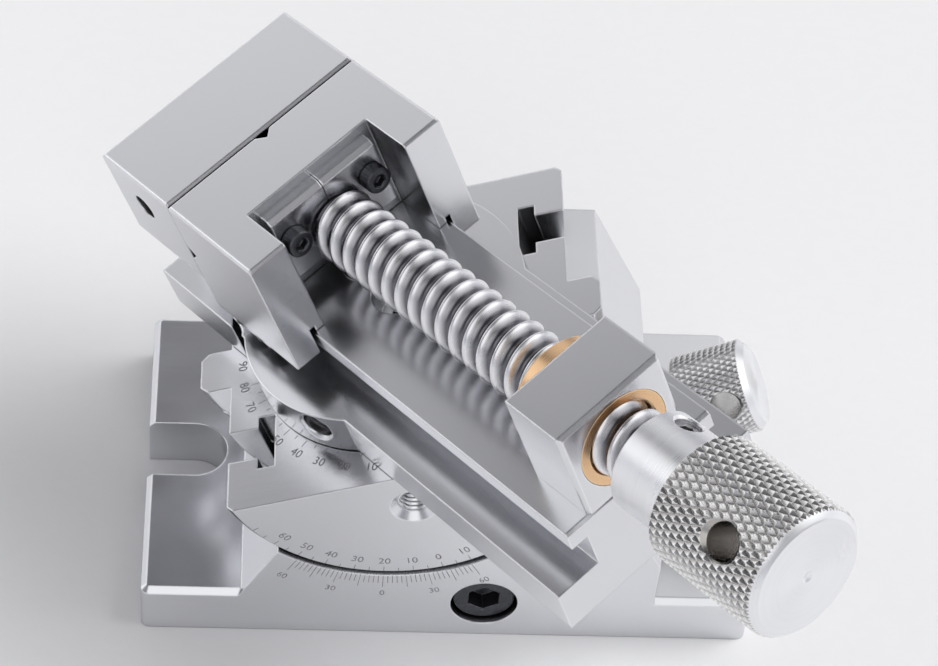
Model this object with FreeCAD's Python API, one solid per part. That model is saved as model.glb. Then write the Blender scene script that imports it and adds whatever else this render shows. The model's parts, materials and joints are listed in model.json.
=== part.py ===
import FreeCAD, Part
import math
import os

# Tilting precision vise: sizes in millimetres, angles in degrees.
# Frame: origin at the centre of the base's underside, X to the right, Y to the back, Z up.

# Pose in which the vise stands
tilt_angle = 20.0
swivel_angle = 38.4

# Base block
base_length = 100.0
base_depth = 59.0
ear_height = 10.0
ear_length = 16.3
ear_chamfer = 1.0
ear_corner_radius = 1.5
slot_width = 11.0
slot_root_inset = 3.0
slot_inner_x = base_length / 2.0 - ear_length + slot_root_inset
flank_angle = 63.0
arm_foot_height = 20.5
arm_top_drop = 4.2
arm_edge_chamfer = 0.6

# Worm-wheel rib under the segment
rib_radius = 33.9
rib_width = 8.2
rib_chamfer = 1.3
rib_floor_height = 10.2
groove_side_clearance = 0.35
groove_rim_clearance = 0.4
teeth_per_turn = 72
tooth_addendum = 0.7
pitch_radius = rib_radius - tooth_addendum
tooth_depth = 1.5
tooth_gap_share = 0.62
tooth_root_share = 0.3
tooth_end_margin_angle = 3.0

# Tilt axis and swinging segment
tilt_axis_x = -10.9
tilt_axis_height = rib_floor_height + groove_rim_clearance + rib_radius
arm_top_height = tilt_axis_height - arm_top_drop
segment_radius = 28.7
segment_top_drop = 3.8
segment_edge_bevel = 1.0
trough_clearance = 0.25

# T slots in the segment's top
tee_offset_y = 16.7
tee_stem_width = 6.0
tee_bar_width = 10.4
tee_bar_inner = 20.7
tee_bar_outer = 23.5

# Swivel post and its set screw
post_radius = 9.0
post_length = 15.0
post_chamfer = 0.8
post_running_gap = 0.05
post_groove_depth = 1.5
post_groove_width = 3.4
post_screw_radius = 2.5
post_screw_drop = 7.5
post_screw_length = 10.0
post_screw_tip_radius = 0.4
post_screw_tip_gap = 0.75
post_screw_socket_radius = 1.25
screw_mouth_radius = 3.75
screw_running_gap = 0.05

# Worm, its shaft and its knob
worm_incline = 26.5
worm_core_radius = 4.8
worm_rib_gap = 0.3
worm_distance = rib_radius + worm_rib_gap + worm_core_radius
worm_core_start = -5.7
worm_core_end = 11.4
worm_bore_radius = 6.65
worm_bore_floor = 6.0
journal_radius = 3.0
journal_length = 4.6
shaft_radius = 3.5
shaft_running_gap = 0.05
bushing_core_gap = 0.6
bushing_start = worm_core_end + bushing_core_gap
bushing_flange_radius = 7.4
bushing_flange_thickness = 1.6
knob_bush_gap = 0.5947
knob_neck_length = 4.6
knob_neck_radius = 5.2
knob_length = 12.7
knob_radius = 7.85
knob_end_chamfer = 1.3
knob_bore_depth = 5.0
knob_hole_inset = 8.0
knob_hole_radius = 2.5
knob_hole_turn = 60.0
knob_hole_countersink = 0.3
knob_pin_radius = 1.0
knob_pin_inset = 2.7

# Worm lock screw in the base's front face
lock_screw_x = 5.9
lock_screw_height = 8.5
lock_screw_radius = 3.0
lock_head_radius = 5.0
lock_head_height = 6.0
lock_counterbore_radius = 5.5
lock_counterbore_depth = 7.2
lock_socket_width = 5.0
lock_socket_depth = 3.0
lock_pad_length = 3.0
lock_pad_tip_gap = 0.4
lock_pad_end_gap = 0.3

# Vise body: flange with round swivel disc, neck, rail deck and fixed jaw
underside_gap = 0.3
deck_half_width = 14.15
skirt_side_gap = 0.5
skirt_thickness = 4.5
rail_overhang = 3.0
vise_half_width = deck_half_width + skirt_side_gap + skirt_thickness
neck_half_width = deck_half_width - rail_overhang
flange_top = 8.15
flange_far_end = -37.0
jaw_far_end = -36.3
near_end = 66.0
disc_radius = 23.46
neck_top = 14.7
deck_top = 18.0
deck_edge_chamfer = 0.5
jaw_bottom = 20.3
jaw_top = 37.4
jaw_line = -17.95
jaw_edge_chamfer = 0.4
cross_hole_s = -28.4
cross_hole_h = 30.1
cross_hole_radius = 2.25
cross_hole_depth = 14.0
deck_hole_s = 9.1
deck_hole_radius = 4.7
deck_hole_depth = 5.2
deck_through_radius = 2.75
disc_screw_radius = 2.5
disc_screw_mouth_radius = 3.1
disc_screw_h = 4.7
disc_screw_depth = 9.0
disc_screw_length = 6.0
disc_screw_inset = 2.2
disc_screw_socket_radius = 1.25
disc_screw_turns = (-70.0, -128.0, 70.0, 128.0)

# Bolt that ties the swivel post to the vise body
post_bolt_radius = 2.0
post_bolt_head_radius = 3.5
post_bolt_head_height = 4.0
post_bolt_socket_radius = 1.5
post_bolt_length = 20.0

# Nut block, its screws and the bronze nut
block_near_end = 66.0
block_far_end = 54.15
block_half_width = 9.7
block_top = 35.7
block_edge_chamfer = 0.6
screw_axis_h = 26.6
nut_radius = 7.9
nut_flange_radius = 8.8
nut_flange_start = 51.5
nut_seat_gap = 0.02
block_screw_radius = 1.5
block_screw_head_radius = 2.75
block_screw_head_height = 3.0
block_screw_w = 7.9
block_screw_inset = 3.2
block_screw_engagement = 3.2
block_screw_socket_radius = 1.25
screw_seat_gap = 0.05

# Movable jaw
jaw_rest_gap = 0.3
slide_gap = 0.1
movable_near_end = 4.57
cavity_far_end = -5.25
cavity_half_width = 12.1
skirt_bottom = 13.8
relief_width = 1.0
relief_height = 1.1
vee_half_width = 1.9
vee_depth = 1.8
vee_low = 25.2
vee_high = 28.5

# Keepers below the skirts
keeper_far_end = -16.5
keeper_near_end = -5.0
keeper_neck_gap = 0.5
keeper_side_inset = 0.55
keeper_tongue_gap = 0.35
keeper_inner = neck_half_width + keeper_neck_gap
keeper_outer = vise_half_width - keeper_side_inset
keeper_tongue_outer = deck_half_width + skirt_side_gap - keeper_tongue_gap
keeper_thickness = 2.4
keeper_screw_radius = 1.25
keeper_screw_head_radius = 2.2
keeper_screw_head_height = 1.4
keeper_screw_wall = 2.55
keeper_screw_w = vise_half_width - keeper_screw_wall
keeper_screw_length = 6.0
keeper_screw_inset = 2.9

# Plates that hold the lead screw in the movable jaw
plate_near_end = -2.65
plate_half_width = 10.5
plate_split_gap = 0.15
plate_bottom = 22.2
plate_top = 35.5
plate_chamfer = 0.8
plate_screw_w = 8.0
plate_screw_h = 30.0
plate_screw_radius = 1.25
plate_screw_head_radius = 2.25
plate_screw_head_height = 2.5
plate_screw_length = 10.0
plate_screw_socket_width = 2.0
plate_screw_socket_depth = 1.3

# Lead screw with its hub and knurled handle
screw_radius = 5.93
screw_running_gap_in_nut = 0.07
thread_pitch = 3.3
thread_depth = 1.2
thread_crest_width = 0.8
thread_root_width = 0.8
thread_crest_s = 1.8
thread_overlap = 0.2
screw_neck_radius = 3.0
screw_neck_gap = 0.08
screw_tip_radius = 4.2
screw_tip_end = -9.6
screw_axial_gap = 0.3
hub_start = 72.2
hub_end = 83.0
hub_radius = 8.0
hub_chamfer = 0.3
handle_end = 103.9
handle_radius = 10.3
handle_chamfer = 1.2
handle_bore_end = 92.0
handle_hole_s = 95.4
handle_hole_radius = 2.75
handle_hole_turn = -39.0
handle_hole_countersink = 0.7
hub_screw_s = 76.0
hub_screw_turn = 43.0
hub_screw_radius = 2.0
hub_screw_inset = 0.8
hub_screw_socket_radius = 1.0

# Shared values
cut_margin = 2.0
socket_depth_share = 0.5
set_screw_socket_share = 0.35
same_place = 0.001


def block(x_range, y_range, z_range):
    """Box given by its two limits along each axis."""
    low = FreeCAD.Vector(x_range[0], y_range[0], z_range[0])
    size_x = x_range[1] - x_range[0]
    size_y = y_range[1] - y_range[0]
    size_z = z_range[1] - z_range[0]
    return Part.makeBox(size_x, size_y, size_z, low)


def rod(start, direction, length, radius):
    """Cylinder from a start point along a direction."""
    return Part.makeCylinder(radius, length, FreeCAD.Vector(*start), FreeCAD.Vector(*direction))


def cone(start, direction, length, start_radius, end_radius):
    """Cone or cone frustum from a start point along a direction."""
    base = FreeCAD.Vector(*start)
    return Part.makeCone(start_radius, end_radius, length, base, FreeCAD.Vector(*direction))


def chamfered_rod(start, direction, length, radius, chamfer):
    """Cylinder with the rims of both its ends broken."""
    body = rod(start, direction, length, radius)
    return body.makeChamfer(chamfer, rim_edges(body))


def rim_edges(shape):
    """The circular edges of a shape."""
    return [edge for edge in shape.Edges if isinstance(edge.Curve, Part.Circle) and edge.isClosed()]


def hexagon_pocket(start, direction, width, depth, side_direction):
    """Hexagonal prism for a key socket, its width measured across the flats."""
    axis = FreeCAD.Vector(*direction)
    side = FreeCAD.Vector(*side_direction)
    centre = FreeCAD.Vector(*start)
    corner_radius = width / math.sqrt(3.0)
    points = []
    for index in range(7):
        turn = FreeCAD.Rotation(axis, index * 60.0)
        points.append(centre + turn.multVec(side) * corner_radius)
    return Part.Face(Part.makePolygon(points)).extrude(axis * depth)


def extruded_outline(points, direction):
    """Solid made from a closed outline moved along a direction."""
    corners = [FreeCAD.Vector(*point) for point in points]
    corners.append(corners[0])
    return Part.Face(Part.makePolygon(corners)).extrude(FreeCAD.Vector(*direction))


def turned_outline(points):
    """Solid of revolution: a closed outline turned about the Z axis."""
    corners = [FreeCAD.Vector(*point) for point in points]
    corners.append(corners[0])
    face = Part.Face(Part.makePolygon(corners))
    return face.revolve(FreeCAD.Vector(0, 0, 0), FreeCAD.Vector(0, 0, 1), 360)


def edges_where(shape, test):
    """Edges whose middle point passes a test."""
    chosen = []
    for edge in shape.Edges:
        middle = edge.valueAt((edge.FirstParameter + edge.LastParameter) / 2.0)
        if test(middle):
            chosen.append(edge)
    return chosen


def near(value, target):
    """Whether two coordinates agree."""
    return abs(value - target) < same_place


def save(name, shape):
    """Write one named piece."""
    shape.exportStep("parts/" + name + ".step")


def tilt_placement():
    """Frame of the segment: X across its top, Y along the tilt axis, Z out of its top."""
    turn = FreeCAD.Rotation(FreeCAD.Vector(0, 1, 0), -tilt_angle)
    return FreeCAD.Placement(FreeCAD.Vector(tilt_axis_x, 0, tilt_axis_height), turn)


def vise_placement():
    """Frame of the vise: X from the fixed jaw to the handle, Y across, Z up from the segment's top."""
    swivel = FreeCAD.Rotation(FreeCAD.Vector(0, 0, 1), swivel_angle - 90.0)
    local = FreeCAD.Placement(FreeCAD.Vector(0, 0, -segment_top_drop), swivel)
    return tilt_placement().multiply(local)


def worm_placement():
    """Frame of the worm: X along its axis towards the knob, Z towards the tilt axis."""
    turn = FreeCAD.Rotation(FreeCAD.Vector(0, 1, 0), -worm_incline)
    lean = math.radians(worm_incline)
    foot_x = tilt_axis_x + worm_distance * math.sin(lean)
    foot_z = tilt_axis_height - worm_distance * math.cos(lean)
    return FreeCAD.Placement(FreeCAD.Vector(foot_x, 0, foot_z), turn)


def arm_face_position():
    """Distance along the worm axis at which it leaves the base's slanted face."""
    frame = worm_placement().inverse()
    foot = frame.multVec(FreeCAD.Vector(base_length / 2.0 - ear_length, 0, arm_foot_height))
    return foot.x


def knob_start():
    """Distance along the worm axis at which the knob's grip starts."""
    return arm_face_position() + bushing_flange_thickness + knob_bush_gap + knob_neck_length


def placed(shape, placement):
    """Shape moved from its own frame to the vise's common frame."""
    result = shape.copy()
    result.Placement = placement.multiply(result.Placement)
    return result


def base_outline():
    """Side outline of the base before the trough is cut."""
    half = base_length / 2.0
    body = half - ear_length
    lean = math.radians(worm_incline)
    arm_rise = arm_top_height - arm_foot_height
    arm_x = body - arm_rise * math.tan(lean)
    flank_rise = tilt_axis_height - segment_radius
    flank_run = flank_rise / math.tan(math.radians(flank_angle))
    return [
        (-half, 0),
        (half, 0),
        (half, ear_height),
        (body, ear_height),
        (body, arm_foot_height),
        (arm_x, arm_top_height),
        (tilt_axis_x, arm_top_height),
        (-body + flank_run, ear_height + flank_rise),
        (-body, ear_height),
        (-half, ear_height),
    ]


def base_blank():
    """Base block with its ears rounded and chamfered."""
    half_depth = base_depth / 2.0
    half = base_length / 2.0
    outline = [(x, -half_depth, z) for x, z in base_outline()]
    body = extruded_outline(outline, (0, base_depth, 0))
    corners = edges_where(body, lambda point: near(abs(point.x), half) and near(abs(point.y), half_depth))
    body = body.makeFillet(ear_corner_radius, corners)
    body = body.makeChamfer(ear_chamfer, edges_where(body, is_outer_ear_edge))
    return body.makeChamfer(arm_edge_chamfer, edges_where(body, is_front_arm_edge))


def is_outer_ear_edge(point):
    """Whether an edge lies round an ear's top and not where the ear meets the block."""
    inner_end = base_length / 2.0 - ear_length
    return near(point.z, ear_height) and abs(point.x) > inner_end + ear_corner_radius


def is_front_arm_edge(point):
    """Whether an edge bounds the front of the arm that stands right of the segment."""
    return near(point.y, -base_depth / 2.0) and point.x > tilt_axis_x and point.z > arm_foot_height


def ear_slot(side):
    """Open-ended clamping slot of one ear."""
    radius = slot_width / 2.0
    centre = slot_inner_x + radius
    height = ear_height + 2.0 * cut_margin
    round_end = rod((side * centre, 0, -cut_margin), (0, 0, 1), height, radius)
    outer = base_length / 2.0 + cut_margin
    limits = sorted((side * centre, side * outer))
    channel = block(limits, (-radius, radius), (-cut_margin, ear_height + cut_margin))
    return round_end.fuse(channel)


def trough():
    """Round seat of the segment with the deeper groove of its rib."""
    length = base_depth + 2.0 * cut_margin
    centre = (tilt_axis_x, -length / 2.0, tilt_axis_height)
    seat = rod(centre, (0, 1, 0), length, segment_radius + trough_clearance)
    half_width = rib_width / 2.0 + groove_side_clearance
    groove_start = (tilt_axis_x, -half_width, tilt_axis_height)
    groove = rod(groove_start, (0, 1, 0), 2.0 * half_width, rib_radius + groove_rim_clearance)
    return seat.fuse(groove)


def worm_bores():
    """Stepped bore of the worm and the bore of its inner journal."""
    face = arm_face_position()
    length = face + worm_bore_floor + cut_margin
    main = rod((-worm_bore_floor, 0, 0), (1, 0, 0), length, worm_bore_radius)
    journal_bore_length = journal_length + screw_axial_gap
    journal_start = -worm_bore_floor - journal_bore_length
    journal = rod((journal_start, 0, 0), (1, 0, 0), journal_bore_length + cut_margin,
                  journal_radius + shaft_running_gap)
    return placed(main.fuse(journal), worm_placement())


def lock_screw_bore():
    """Counterbored hole of the worm lock screw, from the front face to the worm bore."""
    front = -base_depth / 2.0
    head = rod((lock_screw_x, front - cut_margin, lock_screw_height), (0, 1, 0),
               lock_counterbore_depth + cut_margin, lock_counterbore_radius)
    shank = rod((lock_screw_x, front, lock_screw_height), (0, 1, 0), -front - worm_core_radius,
                lock_screw_radius + screw_running_gap)
    return head.fuse(shank)


def base_block():
    """Base with ears, slots, trough, rib groove and worm bores."""
    body = base_blank()
    cutters = [ear_slot(-1), ear_slot(1), trough(), worm_bores(), lock_screw_bore()]
    for cutter in cutters:
        body = body.cut(cutter)
    return body


def worm_bushing():
    """Flanged bush that carries the outer end of the worm shaft."""
    face = arm_face_position()
    sleeve_radius = worm_bore_radius - nut_seat_gap
    sleeve = rod((bushing_start, 0, 0), (1, 0, 0), face - bushing_start, sleeve_radius)
    flange = rod((face, 0, 0), (1, 0, 0), bushing_flange_thickness, bushing_flange_radius)
    body = sleeve.fuse(flange)
    length = face - bushing_start + bushing_flange_thickness + 2.0 * cut_margin
    bore = rod((bushing_start - cut_margin, 0, 0), (1, 0, 0), length, shaft_radius + shaft_running_gap)
    return placed(body.cut(bore), worm_placement())


def socket_screw(start, direction, radius, length, head_radius, head_height, socket_width, socket_depth, side):
    """Socket head cap screw: the start point is under its head, the direction runs along its shank."""
    axis = FreeCAD.Vector(*direction)
    origin = FreeCAD.Vector(*start)
    shank = Part.makeCylinder(radius, length, origin, axis)
    head = Part.makeCylinder(head_radius, head_height, origin - axis * head_height, axis)
    socket = hexagon_pocket(tuple(origin - axis * head_height), direction, socket_width, socket_depth, side)
    return shank.fuse(head).cut(socket)


def set_screw(start, direction, radius, length, socket_radius):
    """Headless screw with a key socket in its start face."""
    body = rod(start, direction, length, radius)
    socket = rod(start, direction, length * set_screw_socket_share, socket_radius)
    return body.cut(socket)


def tilt_lock_screw():
    """Cap screw in the base's front face that presses the pad on the worm."""
    head_seat = -base_depth / 2.0 + lock_counterbore_depth
    tip = -worm_bore_radius - lock_pad_tip_gap - lock_pad_length - lock_pad_end_gap
    start = (lock_screw_x, head_seat - lock_pad_end_gap, lock_screw_height)
    length = tip - start[1]
    return socket_screw(start, (0, 1, 0), lock_screw_radius, length, lock_head_radius, lock_head_height,
                        lock_socket_width, lock_socket_depth, (1, 0, 0))


def lock_pad():
    """Soft pad between the lock screw and the worm."""
    tip = -worm_bore_radius - lock_pad_tip_gap
    start = (lock_screw_x, tip - lock_pad_length, lock_screw_height)
    return rod(start, (0, 1, 0), lock_pad_length, lock_screw_radius)


def tooth_gaps():
    """Gaps between the worm-wheel teeth, cut across the rib at the worm's lead angle."""
    pitch_angle = 360.0 / teeth_per_turn
    outer = rib_radius + cut_margin
    root = rib_radius - tooth_depth
    pitch = 2.0 * math.pi * pitch_radius / teeth_per_turn
    worm_pitch_radius = worm_distance - pitch_radius
    lead_angle = math.degrees(math.atan2(pitch, 2.0 * math.pi * worm_pitch_radius))
    slope = (tooth_gap_share - tooth_root_share) / 2.0 / tooth_depth * pitch
    half_root = pitch * tooth_root_share / 2.0
    half_outer = half_root + slope * (outer - root)
    length = rib_width + 2.0 * cut_margin
    outline = [
        (-half_root, -length / 2.0, -root),
        (half_root, -length / 2.0, -root),
        (half_outer, -length / 2.0, -outer),
        (-half_outer, -length / 2.0, -outer),
    ]
    gap = extruded_outline(outline, (0, length, 0))
    gap.rotate(FreeCAD.Vector(0, 0, 0), FreeCAD.Vector(0, 0, 1), lead_angle)
    reach = 90.0 - math.degrees(math.asin(segment_top_drop / rib_radius)) - tooth_end_margin_angle
    count = int(reach / pitch_angle)
    gaps = []
    for index in range(-count, count + 1):
        copy = gap.copy()
        turn = index * pitch_angle + tilt_angle - worm_incline
        if abs(turn) < reach:
            copy.rotate(FreeCAD.Vector(0, 0, 0), FreeCAD.Vector(0, 1, 0), turn)
            gaps.append(copy)
    return Part.makeCompound(gaps)


def tee_slot(end, side):
    """T-shaped slot at one corner of the segment, cut from its top to its round underside."""
    depth = (-segment_radius, -segment_top_drop + cut_margin)
    centre_y = side * tee_offset_y
    stem_x = sorted((end * tee_bar_inner, end * (segment_radius + cut_margin)))
    bar_x = sorted((end * tee_bar_inner, end * tee_bar_outer))
    stem = block(stem_x, (centre_y - tee_stem_width / 2.0, centre_y + tee_stem_width / 2.0), depth)
    bar = block(bar_x, (centre_y - tee_bar_width / 2.0, centre_y + tee_bar_width / 2.0), depth)
    return stem.fuse(bar)


def segment_blank():
    """Half-round segment with its rib, cut flat on top."""
    half = base_depth / 2.0
    drum = chamfered_rod((0, -half, 0), (0, 1, 0), base_depth, segment_radius, segment_edge_bevel)
    rib = chamfered_rod((0, -rib_width / 2.0, 0), (0, 1, 0), rib_width, rib_radius, rib_chamfer)
    size = rib_radius + cut_margin
    above = block((-size, size), (-half - cut_margin, half + cut_margin), (-segment_top_drop, size))
    return drum.fuse(rib).cut(above)


def tilt_segment():
    """Segment with worm-wheel teeth, T slots, post socket and set-screw hole."""
    body = segment_blank().cut(tooth_gaps())
    for end in (-1, 1):
        for side in (-1, 1):
            body = body.cut(tee_slot(end, side))
    top = -segment_top_drop
    socket_radius = post_radius + post_running_gap
    socket_depth = post_length + screw_axial_gap
    body = body.cut(rod((0, 0, top + cut_margin), (0, 0, -1), socket_depth + cut_margin, socket_radius))
    screw_z = top - post_screw_drop
    front = -base_depth / 2.0
    hole_radius = post_screw_radius + screw_seat_gap
    body = body.cut(rod((0, front - cut_margin, screw_z), (0, 1, 0), -front + cut_margin, hole_radius))
    mouth_depth = screw_mouth_radius - hole_radius
    body = body.cut(cone((0, front, screw_z), (0, 1, 0), mouth_depth, screw_mouth_radius, hole_radius))
    return placed(body, tilt_placement())


def post_set_screw():
    """Pointed set screw in the segment whose tip stands in the post's groove."""
    tip_y = -(post_radius - post_groove_depth) - post_screw_tip_gap
    screw_z = -segment_top_drop - post_screw_drop
    start_y = tip_y - post_screw_length
    point_length = post_screw_radius - post_screw_tip_radius
    body = set_screw((0, start_y, screw_z), (0, 1, 0), post_screw_radius, post_screw_length - point_length,
                     post_screw_socket_radius)
    point = cone((0, tip_y - point_length, screw_z), (0, 1, 0), point_length, post_screw_radius,
                 post_screw_tip_radius)
    return placed(body.fuse(point), tilt_placement())


def worm_shaft():
    """Worm core on its shaft with the inner journal."""
    core = rod((worm_core_start, 0, 0), (1, 0, 0), worm_core_end - worm_core_start, worm_core_radius)
    journal_start = -worm_bore_floor - journal_length
    journal = rod((journal_start, 0, 0), (1, 0, 0), worm_bore_floor + journal_length, journal_radius)
    shaft_end = knob_start() + knob_bore_depth - nut_seat_gap
    shaft = rod((0, 0, 0), (1, 0, 0), shaft_end, shaft_radius)
    body = core.fuse(journal).fuse(shaft).cut(knob_pin_shape(knob_radius))
    return placed(body, worm_placement())


def tilt_knob():
    """Knob of the worm with its neck, bore, cross hole and pin hole."""
    start = knob_start()
    neck_start = start - knob_neck_length
    neck = rod((neck_start, 0, 0), (1, 0, 0), knob_neck_length, knob_neck_radius)
    grip = chamfered_rod((start, 0, 0), (1, 0, 0), knob_length, knob_radius, knob_end_chamfer)
    body = neck.fuse(grip)
    bore_length = knob_neck_length + knob_bore_depth
    body = body.cut(rod((neck_start, 0, 0), (1, 0, 0), bore_length, shaft_radius + nut_seat_gap))
    body = body.cut(cross_hole(start + knob_hole_inset, knob_hole_turn, knob_radius, knob_hole_radius,
                               knob_hole_countersink))
    return placed(body.cut(knob_pin_shape(knob_radius + cut_margin)), worm_placement())


def cross_hole(position, turn, outer_radius, hole_radius, countersink):
    """Hole across a round grip with both its mouths countersunk."""
    reach = outer_radius + cut_margin
    sink_start = outer_radius - hole_radius ** 2 / (2.0 * outer_radius) - countersink
    wide = hole_radius + reach - sink_start
    outline = [
        (0, 0, -reach),
        (wide, 0, -reach),
        (hole_radius, 0, -sink_start),
        (hole_radius, 0, sink_start),
        (wide, 0, reach),
        (0, 0, reach),
    ]
    hole = turned_outline(outline)
    hole.translate(FreeCAD.Vector(position, 0, 0))
    hole.rotate(FreeCAD.Vector(0, 0, 0), FreeCAD.Vector(1, 0, 0), turn)
    return hole


def knob_pin():
    """Cross pin that fixes the knob to the worm shaft."""
    return placed(knob_pin_shape(knob_radius - knob_pin_radius / 2.0), worm_placement())


def knob_pin_shape(reach):
    """Cross pin of the given half length, at right angles to the knob's cross hole."""
    pin = rod((knob_start() + knob_pin_inset, 0, -reach), (0, 0, 1), 2.0 * reach, knob_pin_radius)
    pin.rotate(FreeCAD.Vector(0, 0, 0), FreeCAD.Vector(1, 0, 0), knob_hole_turn - 90.0)
    return pin


def vise_plate():
    """Flange of the vise with the round swivel disc, neck and rail deck."""
    bottom = underside_gap
    flange = block((flange_far_end, near_end), (-vise_half_width, vise_half_width), (bottom, flange_top))
    disc = rod((0, 0, bottom), (0, 0, 1), flange_top - bottom, disc_radius)
    neck = block((jaw_far_end, near_end), (-neck_half_width, neck_half_width), (flange_top, neck_top))
    deck = block((jaw_far_end, near_end), (-deck_half_width, deck_half_width), (neck_top, deck_top))
    deck_edges = edges_where(deck, lambda point: near(point.x, near_end) and near(point.z, deck_top))
    deck = deck.makeChamfer(deck_edge_chamfer, deck_edges)
    return flange.fuse(disc).fuse(neck).fuse(deck)


def fixed_jaw():
    """Fixed jaw on its column."""
    column = block((jaw_far_end, jaw_line), (-deck_half_width, deck_half_width), (deck_top, jaw_bottom))
    jaw = block((jaw_far_end, jaw_line), (-vise_half_width, vise_half_width), (jaw_bottom, jaw_top))
    edges = edges_where(jaw, lambda point: near(point.z, jaw_top))
    jaw = jaw.makeChamfer(jaw_edge_chamfer, edges)
    return column.fuse(jaw)


def vise_body():
    """One-piece vise body with fixed jaw and screw holes."""
    body = vise_plate().fuse(fixed_jaw()).removeSplitter()
    cross = rod((cross_hole_s, -vise_half_width - cut_margin, cross_hole_h), (0, 1, 0),
                cross_hole_depth + cut_margin, cross_hole_radius)
    body = body.cut(cross)
    deck_hole = rod((deck_hole_s, 0, deck_top + cut_margin), (0, 0, -1), deck_hole_depth + cut_margin,
                    deck_hole_radius)
    deck_through = rod((deck_hole_s, 0, 0), (0, 0, 1), deck_top, deck_through_radius)
    body = body.cut(deck_hole.fuse(deck_through))
    head_seat = deck_top - deck_hole_depth
    post_hole = rod((0, 0, 0), (0, 0, 1), deck_top + cut_margin, post_bolt_radius + screw_seat_gap)
    post_head = rod((0, 0, head_seat), (0, 0, 1), deck_hole_depth + cut_margin,
                    post_bolt_head_radius + screw_seat_gap)
    body = body.cut(post_hole.fuse(post_head))
    for turn in disc_screw_turns:
        body = body.cut(disc_screw_hole(turn))
    for s, w in block_screw_positions():
        body = body.cut(block_screw_hole(s, w))
    return placed(body, vise_placement())


def disc_screw_hole(turn):
    """Countersunk radial hole in the side of the swivel disc."""
    depth = disc_screw_depth
    inner = disc_radius - depth
    radius = disc_screw_radius + screw_seat_gap
    hole = rod((inner, 0, disc_screw_h), (1, 0, 0), depth + cut_margin, radius)
    sink_depth = disc_screw_mouth_radius - radius
    sink = cone((disc_radius - sink_depth, 0, disc_screw_h), (1, 0, 0), sink_depth + cut_margin, radius,
                disc_screw_mouth_radius + cut_margin)
    hole = hole.fuse(sink)
    hole.rotate(FreeCAD.Vector(0, 0, 0), FreeCAD.Vector(0, 0, 1), turn)
    return hole


def disc_set_screws():
    """Set screws in the side of the swivel disc."""
    screws = []
    for turn in disc_screw_turns:
        start = (disc_radius - disc_screw_inset, 0, disc_screw_h)
        screw = set_screw(start, (-1, 0, 0), disc_screw_radius, disc_screw_length, disc_screw_socket_radius)
        screw.rotate(FreeCAD.Vector(0, 0, 0), FreeCAD.Vector(0, 0, 1), turn)
        screws.append(screw)
    return placed(Part.makeCompound(screws), vise_placement())


def block_screw_positions():
    """Places of the screws below the nut block, as distance along and across the vise."""
    near_s = block_near_end - block_screw_inset
    far_s = block_far_end + block_screw_inset
    return [(s, w) for s in (far_s, near_s) for w in (-block_screw_w, block_screw_w)]


def block_screw_hole(s, w):
    """Counterbored hole through the vise body for one nut-block screw."""
    hole = rod((s, w, 0), (0, 0, 1), deck_top + cut_margin, block_screw_radius + screw_seat_gap)
    seat = underside_gap + block_screw_head_height + screw_axial_gap
    head = rod((s, w, 0), (0, 0, 1), seat, block_screw_head_radius + screw_seat_gap)
    return hole.fuse(head)


def block_screws():
    """Cap screws that hold the nut block from below."""
    seat = underside_gap + block_screw_head_height + screw_axial_gap
    length = deck_top + block_screw_engagement - seat
    screws = []
    for s, w in block_screw_positions():
        screws.append(socket_screw((s, w, seat), (0, 0, 1), block_screw_radius, length,
                                   block_screw_head_radius, block_screw_head_height,
                                   2.0 * block_screw_socket_radius, block_screw_head_height * socket_depth_share,
                                   (1, 0, 0)))
    return placed(Part.makeCompound(screws), vise_placement())


def nut_block():
    """Block that carries the bronze nut at the near end of the rails."""
    body = block((block_far_end, block_near_end), (-block_half_width, block_half_width), (deck_top, block_top))
    edges = edges_where(body, lambda point: near(point.x, block_near_end) and not near(point.z, deck_top))
    body = body.makeChamfer(block_edge_chamfer, edges)
    bore = rod((block_far_end - cut_margin, 0, screw_axis_h), (1, 0, 0),
               block_near_end - block_far_end + 2.0 * cut_margin, nut_radius + nut_seat_gap)
    body = body.cut(bore)
    for s, w in block_screw_positions():
        hole_depth = block_screw_engagement + screw_axial_gap
        body = body.cut(rod((s, w, deck_top), (0, 0, 1), hole_depth, block_screw_radius + screw_seat_gap))
    return placed(body, vise_placement())


def screw_nut():
    """Flanged bronze nut of the lead screw."""
    flange = rod((nut_flange_start, 0, screw_axis_h), (1, 0, 0), block_far_end - nut_flange_start,
                 nut_flange_radius)
    below_deck = block((nut_flange_start - cut_margin, block_far_end), (-nut_flange_radius, nut_flange_radius),
                       (deck_top - cut_margin, deck_top + nut_seat_gap))
    flange = flange.cut(below_deck)
    body = rod((block_far_end, 0, screw_axis_h), (1, 0, 0), block_near_end - block_far_end, nut_radius)
    bore = rod((nut_flange_start - cut_margin, 0, screw_axis_h), (1, 0, 0),
               block_near_end - nut_flange_start + 2.0 * cut_margin, screw_radius + screw_running_gap_in_nut)
    return placed(flange.fuse(body).cut(bore), vise_placement())


def swivel_post():
    """Grooved post below the vise body on which it swivels in the segment."""
    top = underside_gap
    body = rod((0, 0, -post_length), (0, 0, 1), post_length + top, post_radius)
    low_edges = edges_where(body, lambda point: near(point.z, -post_length))
    body = body.makeChamfer(post_chamfer, low_edges)
    middle = -post_screw_drop
    half = post_groove_width / 2.0
    floor = post_radius - post_groove_depth
    outer = post_radius + post_groove_depth
    profile = [
        (floor, 0, middle),
        (outer, 0, middle - 2.0 * half),
        (outer, 0, middle + 2.0 * half),
    ]
    body = body.cut(turned_outline(profile))
    bolt_reach = deck_top - deck_hole_depth - post_bolt_length - screw_axial_gap
    hole = rod((0, 0, bolt_reach), (0, 0, 1), top - bolt_reach + cut_margin, post_bolt_radius + screw_seat_gap)
    return placed(body.cut(hole), vise_placement())


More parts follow.
